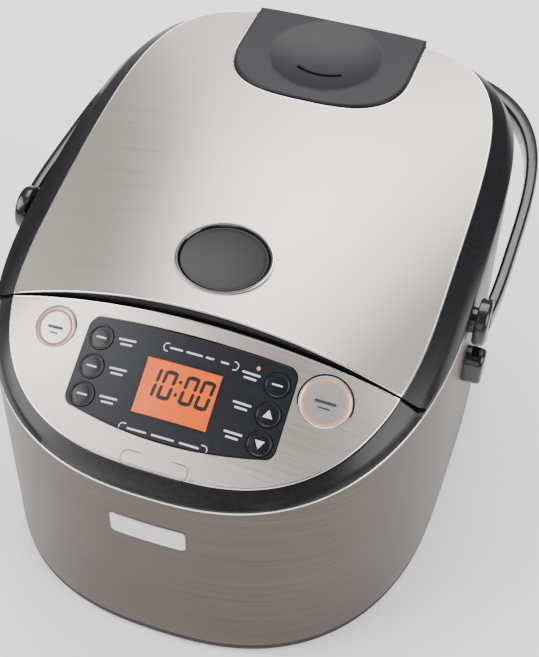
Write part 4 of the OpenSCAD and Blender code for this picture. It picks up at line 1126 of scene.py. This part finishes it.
white_marks = pill_ring(7, SEAM_Y - 16.4, 23, 2.2, 0.5)
white_marks += [pill(x, SEAM_Y - 16.4, w, 0.45) for x, w in ((-8, 4), (3, 5), (17, 7))]
white_marks += pill_ring(0, SEAM_Y - 59.4, 27, 2.2, 0.5)
white_marks += [pill(x, SEAM_Y - 59.4, w, 0.45) for x, w in ((-16, 6), (0, 7), (16, 6))]
for side in (-1, 1):
    for ahead in (18.8, 34, 48.8):
        white_marks.append(pill(side * 38, SEAM_Y - ahead + 1.2, 5.5, 0.5))
        white_marks.append(pill(side * 38, SEAM_Y - ahead - 1.2, 3.8, 0.5))
decal("film_print_white", white_marks, "root", print_white)

# Each small key but the arrows carries one short white bar, and each large key two dark ones.
for name, key in SMALL_KEYS.items():
    if name not in ("key_up", "key_down"):
        decal(name + "_bar", [pill(0, 0, 3.2, 0.5)], name, print_white, key_place(key), 0.46)
for name, half_w in (("key_cancel", 5.2), ("key_start", 6.4)):
    bars = [pill(0, 0, half_w, 0.9), pill(0, -3.4, half_w * 0.55, 0.5)]
    decal(name + "_bar", bars, name, print_grey, key_place(BIG_KEYS[name]), 0.6)

for name, turn in (("key_up", 1), ("key_down", -1)):
    arrow = [(-2.9 * turn, -1.9 * turn), (2.9 * turn, -1.9 * turn), (0, 2.9 * turn)]
    decal(name + "_arrow", [arrow], name, print_white, key_place(SMALL_KEYS[name]), 0.5)

# Seven-segment digits: a is the top bar, then clockwise, with g in the middle.
DIGITS = {"0": "abcdef", "1": "bc"}
DIGIT_W = 8.0
DIGIT_H = 15.0
STROKE = 2.0
DIGIT_SLANT = 0.12


def segment_loops(digit, x, y):
    w, h, s = DIGIT_W / 2, DIGIT_H / 2, STROKE
    bars = {
        "a": (0, h - s / 2, w - s, s / 2), "d": (0, s / 2 - h, w - s, s / 2), "g": (0, 0, w - s, s / 2),
        "b": (w - s / 2, h / 2, s / 2, h / 2 - s * 0.6), "c": (w - s / 2, -h / 2, s / 2, h / 2 - s * 0.6),
        "e": (s / 2 - w, -h / 2, s / 2, h / 2 - s * 0.6), "f": (s / 2 - w, h / 2, s / 2, h / 2 - s * 0.6),
    }
    loops = []
    for name in DIGITS[digit]:
        cx, cy, bw, bh = bars[name]
        t = min(bw, bh)
        if bw > bh:
            loop = [(-bw - t, 0), (-bw, -bh), (bw, -bh), (bw + t, 0), (bw, bh), (-bw, bh)]
        else:
            loop = [(0, -bh - t), (bw, -bh), (bw, bh), (0, bh + t), (-bw, bh), (-bw, -bh)]
        loops.append([(x + cx + px + DIGIT_SLANT * (cy + py), y + cy + py) for px, py in loop])
    return loops


digit_loops = []
DIGIT_Y = WINDOW_Y + 2.5
for digit, x in (("1", -16.4), ("0", -6.6), ("0", 6.6), ("0", 16.2)):
    digit_loops += segment_loops(digit, x, DIGIT_Y)
for dy in (-3.4, 3.0):
    digit_loops.append(circle(DIGIT_SLANT * dy, DIGIT_Y + dy, 1.0, 16))
decal("display_digits", digit_loops, "root", lcd_black, lift=0.0)
window_frame = along_edge(
    "display_window_frame", rectangle(WINDOW_HALF_W, WINDOW_HALF_D, WINDOW_Y), panel_z,
    [(-0.6, -0.4), (-0.55, 0.04), (0.7, 0.06), (0.75, -0.4)], "root", key_film,
)

oval_line = pill_ring(0, SEAM_Y - 73, 20.5, 4.1, 0.45)
decal("cover_print_oval", oval_line, "root", print_grey)
decal("key_lamp", [circle(41, SEAM_Y - 14, 1.1, 24)], "root", print_orange)


# ------------------------------------------------------------------------------- front badge
# A small plate of brushed aluminium, glued to the front of the shell. It is left blank.
badge_metal, shader = new_material("aluminium_brushed_plate", Metallic=1.0)
grained(badge_metal, shader, ("#c9c7c4", "#dedcda"), (40, 40, GRAIN_PER_M), (0.3, 0.4), (0.06, 0.00003))
badge_low, badge_high = box_mm("front_badge")
BADGE_CORNER = 3.0


def badge_row(shrink, proud):
    w, h = badge_high.x - shrink, (badge_high.z - badge_low.z) / 2 - shrink
    c = BADGE_CORNER - shrink
    middle = (badge_high.z + badge_low.z) / 2
    row = []
    for sx, sz, start in ((1, 1, 0), (-1, 1, 90), (-1, -1, 180), (1, -1, 270)):
        for i in range(9):
            a = math.radians(start + 90 * i / 8)
            row.append((sx * (w - c) + c * math.cos(a), sz * (h - c) + c * math.sin(a)))
    full = []
    for (xa, za), (xb, zb) in zip(row, row[1:] + row[:1]):
        pieces_of_edge = max(1, int(math.hypot(xb - xa, zb - za) / 3))
        shares = [i / pieces_of_edge for i in range(pieces_of_edge)]
        full += [(mix(xa, xb, s), mix(za, zb, s)) for s in shares]
    placed_row = []
    for x, z in full:
        depth = WIDEST_Y - FRONT_Y
        y = WIDEST_Y - (depth + proud) * (1 - abs(x / BODY_HALF_W) ** FRONT_POWER) ** (1 / FRONT_POWER)
        placed_row.append((x, y, middle + z))
    return placed_row


badge_profile = [(0, -0.1), (0, 0.45), (0.3, 0.7), (1.4, 0.72), (1.7, 0.5), (2.2, 0.5)]
badge_rows = [badge_row(s, p) for s, p in badge_profile]
badge_inner = [
    [
        (mix(0, x, s), y, mix((badge_high.z + badge_low.z) / 2, z, s))
        for x, y, z in badge_row(2.2, 0.5)
    ]
    for s in (0.75, 0.5, 0.25)
]
for row, s in zip(badge_inner, (0.75, 0.5, 0.25)):
    for i, (x, y, z) in enumerate(row):
        depth = WIDEST_Y - FRONT_Y + 0.5
        row[i] = (x, WIDEST_Y - depth * (1 - abs(x / BODY_HALF_W) ** FRONT_POWER) ** (1 / FRONT_POWER), z)
badge = new_piece(
    "front_badge_plate", fan_caps(loft(badge_rows + badge_inner), first=False, count=len(badge_rows[0])),
    "root", badge_metal,
)
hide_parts("front_badge")


# ------------------------------------------------------------------------------- carry handle
# The swing handle is one gloss black moulding with rounded edges: two arms that rise slightly
# from their hubs to a deeper bar behind the body. It turns on pins that stand out of the shell.
handle_plastic, shader = new_material(
    "polypropylene_polished_black_handle", IOR=1.5, Coat_Weight=0.35, Coat_Roughness=0.12
)
grained(handle_plastic, shader, ("#121213", "#19191b"), (120, 120, 120), (0.2, 0.28), (0.03, 0.00003))

handle_high = box_mm("carry_handle")[1]
HANDLE_HALF_W = handle_high.x
HANDLE_REAR_Y = handle_high.y
HANDLE_WALL = 8
HANDLE_BAR = 12.5
HANDLE_H = 14
HANDLE_MID_Y = WIDEST_Y + 62
HANDLE_FRONT = 140
HANDLE_POWER = 3.4
HANDLE_RISE = math.radians(2.4)
HUB_Y = WIDEST_Y + 2.6
HUB_Z = RIM_Z + 6
HUB_R = 14.5
pivot_high = box_mm("handle_pivots")[1]
HUB_OUT = pivot_high.x + 2


def handle_edge(angle, inward_w, inward_d):
    depth = HANDLE_FRONT if math.sin(angle) < 0 else HANDLE_REAR_Y - HANDLE_MID_Y - inward_d
    r = oval_r(angle, HANDLE_HALF_W - inward_w, depth, HANDLE_POWER)
    return Vector((r * math.cos(angle), HANDLE_MID_Y + r * math.sin(angle)))


start = 0.0
while handle_edge(start, 0, 0).y > HUB_Y:
    start -= 0.002
hub_turn = Matrix.Translation((0, HUB_Y, HUB_Z)) @ Matrix.Rotation(HANDLE_RISE, 4, "X")
sections = []
for i in range(221):
    angle = mix(start, math.pi - start, i / 220)
    outer = handle_edge(angle, 0, 0)
    inner = handle_edge(angle, HANDLE_WALL, HANDLE_BAR)
    section = []
    for j in range(32):
        a = math.tau * j / 32
        across = math.copysign(abs(math.cos(a)) ** 0.5, math.cos(a))
        up = math.copysign(abs(math.sin(a)) ** 0.55, math.sin(a))
        spot = outer.lerp(inner, 0.5 - 0.5 * across)
        section.append(hub_turn @ Vector((spot.x, spot.y - HUB_Y, up * HANDLE_H / 2)))
    sections.append(section)
handle = new_piece("handle_strap", fan_caps(loft(sections), count=32), "handle", handle_plastic)
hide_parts("carry_handle")

for side, side_name in ((1, "right"), (-1, "left")):
    hub_place = Matrix.Translation((0, HUB_Y, HUB_Z)) @ Matrix.Rotation(side * math.pi / 2, 4, "Y")
    inner_x = HUB_OUT - HANDLE_WALL
    profile = [
        (5.06, inner_x), (HUB_R - 1, inner_x), (HUB_R - 0.2, inner_x + 0.7), (HUB_R, inner_x + 2),
        (HUB_R, HUB_OUT - 2.2), (HUB_R - 0.5, HUB_OUT - 0.9), (HUB_R - 1.8, HUB_OUT - 0.1),
        (HUB_R - 3.4, HUB_OUT), (HUB_R - 4.2, HUB_OUT - 0.6), (5.06, HUB_OUT - 0.6),
    ]
    rows = [[(x, y, z) for x, y in circle(0, 0, r, 96)] for r, z in profile]
    hub_shape = loft(placed(hub_place, rows), closed=True)
    hub = new_piece("handle_hub_" + side_name, hub_shape, "handle", handle_plastic)
    cap_profile = [
        (0.5, HUB_OUT + 0.1), (4.0, HUB_OUT + 0.05), (7.6, HUB_OUT - 0.05), (8.8, HUB_OUT - 0.4),
        (9.0, HUB_OUT - 0.9), (9.0, HUB_OUT - 1.7),
    ]
    cap_shape = turned(cap_profile, hub_place, 96)
    cap = new_piece("handle_hub_cap_" + side_name, cap_shape, "handle", handle_plastic)


# ------------------------------------------------------------------------------- spatula lugs
# A rounded block of gloss black ABS on each side of the shell, with an upright slot that takes
# the hook of a spatula holder. Each is screwed on from inside.
lug_low, lug_high = box_mm("spatula_lugs")
LUG_Y = (lug_low.y + lug_high.y) / 2
LUG_Z = (lug_low.z + lug_high.z) / 2
LUG_R = (lug_high.y - lug_low.y) / 2
LUG_STRAIGHT = (lug_high.z - lug_low.z) / 2 - LUG_R
LUG_OUT = lug_high.x
SLOT_LOW_X = BODY_HALF_W + 2.8


def lug_row(shrink, x):
    row = []
    for i in range(64):
        a = math.tau * i / 64
        lift = math.copysign(LUG_STRAIGHT, math.sin(a)) if abs(math.sin(a)) > 1e-6 else 0
        reach = LUG_R - shrink
        row.append((x, LUG_Y + reach * math.cos(a), LUG_Z + lift + reach * math.sin(a)))
    return row


for side, side_name in ((1, "right"), (-1, "left")):
    rows = [lug_row(s, x) for s, x in (
        (0.0, BODY_HALF_W - 1.2), (0.0, LUG_OUT - 3.0), (0.3, LUG_OUT - 1.6), (1.0, LUG_OUT - 0.6),
        (2.2, LUG_OUT - 0.1), (4.0, LUG_OUT),
    )]
    rows = [[(side * x, y, z) for x, y, z in row] for row in rows]
    points, faces = fan_caps(loft(rows), count=64)
    if side > 0:
        faces = [tuple(reversed(face)) for face in faces]
    lug = new_piece("spatula_lug_" + side_name, (points, faces), "root", handle_plastic)
    slot_x = sorted((side * SLOT_LOW_X, side * (SLOT_LOW_X + 5)))
    cut(lug, prism(
        [
            (slot_x[0], LUG_Y - 5.5), (slot_x[1], LUG_Y - 5.5),
            (slot_x[1], LUG_Y + 5.5), (slot_x[0], LUG_Y + 5.5),
        ],
        LUG_Z - 30, LUG_Z + 30,
    ))
    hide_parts("spatula_lugs")


# ------------------------------------------------------------------------------- inner pan
# The pan lifts out by its rim. It is pressed from thick aluminium: dark non-stick coating inside,
# a steel-bonded outer face that the coil heats, and a rolled rim. Etched lines mark the levels.
pan_coating, shader = new_material("ptfe_coating_speckled", IOR=1.4, Metallic=0.2)
grained(pan_coating, shader, ("#3a3a3c", "#4e4e51"), (1400, 1400, 1400), (0.36, 0.5), (0.15, 0.00005))
pan_outside, shader = new_material("stainless_steel_spun_outer", Metallic=1.0)
grained(pan_outside, shader, ("#8f8d8a", "#a5a3a0"), (9, 9, GRAIN_PER_M), (0.34, 0.46), (0.1, 0.00004))
PAN_R = (pan_high.x - pan_low.x) / 2
PAN_OUTER_R = PAN_R - 5
PAN_WALL = 2
PAN_CORNER = 26
PAN_LOW_Z = pan_low.z


def pan_corner(r, floor_z, corner, steps=12):
    return [
        (
            r - corner + corner * math.sin(math.pi / 2 * i / steps),
            floor_z + corner - corner * math.cos(math.pi / 2 * i / steps),
        )
        for i in range(steps + 1)
    ]


outside = [(2, PAN_LOW_Z)] + pan_corner(PAN_OUTER_R, PAN_LOW_Z, PAN_CORNER)
outside += [(PAN_OUTER_R, RIM_Z - 3), (PAN_OUTER_R + 0.6, RIM_Z - 2)]
rim = [
    (PAN_R - 0.9, RIM_Z - 2), (PAN_R - 0.2, RIM_Z - 1.6), (PAN_R, RIM_Z - 1), (PAN_R - 0.2, RIM_Z - 0.4),
    (PAN_R - 0.9, RIM_Z), (PAN_OUTER_R + 0.5, RIM_Z), (PAN_OUTER_R - PAN_WALL, RIM_Z - 1.2),
]
inside_corner = pan_corner(PAN_OUTER_R - PAN_WALL, PAN_LOW_Z + PAN_WALL, PAN_CORNER - PAN_WALL)
inside_wall = list(reversed(inside_corner))
pan = new_piece(
    "inner_pan_spun",
    turned(
        outside + rim + inside_wall + [(2, PAN_LOW_Z + PAN_WALL)],
        Matrix.Translation((0, PAN_Y, 0)), 160,
    ),
    "root", pan_coating,
)
pan.data.materials.append(pan_outside)
for face in pan.data.polygons:
    spread = math.hypot(face.center.x, face.center.y - PAN_Y / 1000) * 1000
    outward = face.normal.x * face.center.x + face.normal.y * (face.center.y - PAN_Y / 1000)
    if face.center.z * 1000 < RIM_Z - 2.2 and (outward > 0 or face.normal.z < -0.5) and spread > 3:
        face.material_index = 1
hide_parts("inner_pan")
marks = []
for i in range(8):
    z = 66 + 11.5 * i
    r = PAN_OUTER_R - PAN_WALL - 0.05
    half = 0.07 if i % 2 else 0.11
    marks.append([(r, z, a) for a in (-half, half)])
points, faces = [], []
for (r, z, low_a), (_, _, high_a) in marks:
    start = len(points)
    for k in range(7):
        a = math.pi / 2 + mix(low_a, high_a, k / 6)
        for dz in (-0.35, 0.35):
            points.append((r * math.cos(a), PAN_Y + r * math.sin(a), z + dz))
    faces += [(start + 2 * k, start + 2 * k + 1, start + 2 * k + 3, start + 2 * k + 2) for k in range(6)]
level_marks = new_piece("inner_pan_level_marks", (points, faces), "root", print_white)


# ------------------------------------------------------------------------------- inside the lid
# Under the lid: a moulded cover, a ring of grey silicone that seals the pan, and a pressed
# aluminium inner lid with steam holes that unclips for washing.
silicone, shader = new_material("silicone_moulded_grey", IOR=1.43, Subsurface_Weight=0.05)
grained(silicone, shader, ("#7f7f7c", "#8d8d8a"), (300, 300, 300), (0.5, 0.62), (0.05, 0.00005))
pressed_aluminium, shader = new_material("aluminium_rolled_satin", Metallic=1.0)
grained(
    pressed_aluminium, shader, ("#b9b9ba", "#cfcfd0"), (12, GRAIN_PER_M / 2, 12),
    (0.3, 0.42), (0.08, 0.00004)
)
zinc_plate, shader = new_material("steel_zinc_plated", Metallic=1.0)
grained(zinc_plate, shader, ("#9c9da0", "#b4b5b8"), (250, 250, 250), (0.28, 0.42), (0.06, 0.00003))
heat_plastic, shader = new_material("pbt_moulded_ivory", IOR=1.57, Subsurface_Weight=0.03)
grained(heat_plastic, shader, ("#cfcabd", "#dad6ca"), (500, 500, 500), (0.42, 0.55), (0.08, 0.00005))
solder_mask, shader = new_material("glass_epoxy_solder_mask_green", IOR=1.55, Coat_Weight=0.3)
grained(solder_mask, shader, ("#1f5a38", "#2b6c47"), (250, 250, 250), (0.3, 0.42), (0.06, 0.00003))
copper, shader = new_material("copper_wire_lacquered", Metallic=0.9)
grained(copper, shader, ("#a9603a", "#c47d4f"), (GRAIN_PER_M, GRAIN_PER_M, 300), (0.28, 0.4), (0.3, 0.0002))
ferrite, shader = new_material("ferrite_sintered", IOR=2.2)
grained(ferrite, shader, ("#322f2d", "#423e3b"), (1200, 1200, 1200), (0.55, 0.7), (0.2, 0.0001))
can_sleeve, shader = new_material("pvc_shrink_sleeve_blue", IOR=1.54, Coat_Weight=0.3)
grained(can_sleeve, shader, ("#27436f", "#31507f"), (60, 60, 60), (0.25, 0.36), (0.02, 0.00003))

SLOT_MATERIALS = {
    "steel_skin": skin_steel, "shell_steel": shell_steel, "black_trim": band_plastic,
    "handle_black": handle_plastic, "cap_grey": cap_plastic, "button_grey": button_plastic,
    "inlay_black": film_plastic, "key_black": key_film, "key_silver": silver_paint, "lcd_amber": lcd_amber,
    "board_green": solder_mask, "white_plastic": heat_plastic, "base_black": textured_plastic,
    "rubber_black": foot_rubber, "gasket_grey": silicone, "aluminium_bare": pressed_aluminium,
    "steel_hardware": zinc_plate, "copper_wire": copper, "ferrite": ferrite, "pan_coating": pan_coating,
    "badge_silver": badge_metal, "capacitor_blue": can_sleeve,
}
for part in frame["record"]["subparts"]:
    node = frame["nodes"][part["node"]]
    node.data.materials.clear()
    node.data.materials.append(SLOT_MATERIALS[part["material_slot"]])
    node.data.shade_smooth()
    node.data.set_sharp_from_angle(angle=math.radians(30))


# ------------------------------------------------------------------------------- studio
# A wide, level, pale matt floor that glows faintly so that it stays light, an even pale
# surround, soft boxes on both sides, above and in front, and the camera.
floor_paint, shader = new_material(
    "studio_floor_matt_white", IOR=1.5, Emission_Strength=0.3, Specular_IOR_Level=0.2
)
grained(floor_paint, shader, ("#f7f7f7", "#fbfbfb"), (3, 3, 3), (0.75, 0.85), (0.02, 0.0001))
shader.inputs["Emission Color"].default_value = linear("#ffffff")
FLOOR_SIZE = 6000
floor_points = [
    (x * FLOOR_SIZE, y * FLOOR_SIZE, 0.0) for x, y in ((-1, -1), (1, -1), (1, 1), (-1, 1))
]
mesh = bpy.data.meshes.new("studio_floor")
mesh.from_pydata([Vector(p) * 0.001 for p in floor_points], [], [(0, 1, 2, 3)])
mesh.materials.append(floor_paint)
floor = bpy.data.objects.new("studio_floor", mesh)
bpy.context.scene.collection.objects.link(floor)

world = bpy.data.worlds.new("studio_world")
world.use_nodes = True
world.node_tree.nodes["Background"].inputs["Color"].default_value = (0.95, 0.97, 1.0, 1)
world.node_tree.nodes["Background"].inputs["Strength"].default_value = 0.25
bpy.context.scene.world = world

# Soft boxes: name, place, size, watts. Each faces the middle of the cooker.
LOOK_AT = Vector((0, -0.02, 0.14))
for name, place, size, watts in (
    ("softbox_left", (-1.4, -0.8, 1.3), 1.4, 44),
    ("softbox_right", (1.5, -0.4, 1.1), 1.2, 26),
    ("softbox_top", (-0.1, 0.9, 1.8), 1.5, 40),
    ("softbox_front", (0.1, -1.9, 0.8), 1.0, 4),
):
    lamp_data = bpy.data.lights.new(name, "AREA")
    lamp_data.energy = watts
    lamp_data.size = size
    softbox = bpy.data.objects.new(name, lamp_data)
    softbox.location = place
    softbox.rotation_euler = (LOOK_AT - Vector(place)).to_track_quat("-Z", "Y").to_euler()
    bpy.context.scene.collection.objects.link(softbox)

CAMERA_TARGET = Vector((0.0169, -0.0398, 0.1297))
CAMERA_AZIMUTH = math.radians(18.26)
CAMERA_ELEVATION = math.radians(45.32)
CAMERA_ROLL = math.radians(1.53)
CAMERA_DISTANCE = 0.8363
back = Vector(
    (
        math.sin(CAMERA_AZIMUTH) * math.cos(CAMERA_ELEVATION),
        -math.cos(CAMERA_AZIMUTH) * math.cos(CAMERA_ELEVATION),
        math.sin(CAMERA_ELEVATION),
    )
)
right_way = Vector((math.cos(CAMERA_AZIMUTH), math.sin(CAMERA_AZIMUTH), 0))
up_way = back.cross(right_way)
across_view = math.cos(CAMERA_ROLL) * right_way + math.sin(CAMERA_ROLL) * up_way
up_view = math.cos(CAMERA_ROLL) * up_way - math.sin(CAMERA_ROLL) * right_way
camera_data = bpy.data.cameras.new("camera")
camera_data.lens = 70.47
camera_data.sensor_width = 36
camera = bpy.data.objects.new("camera", camera_data)
axes = Matrix((across_view, up_view, back)).transposed().to_4x4()
camera.matrix_world = Matrix.Translation(CAMERA_TARGET + back * CAMERA_DISTANCE) @ axes
bpy.context.scene.collection.objects.link(camera)
bpy.context.scene.camera = camera
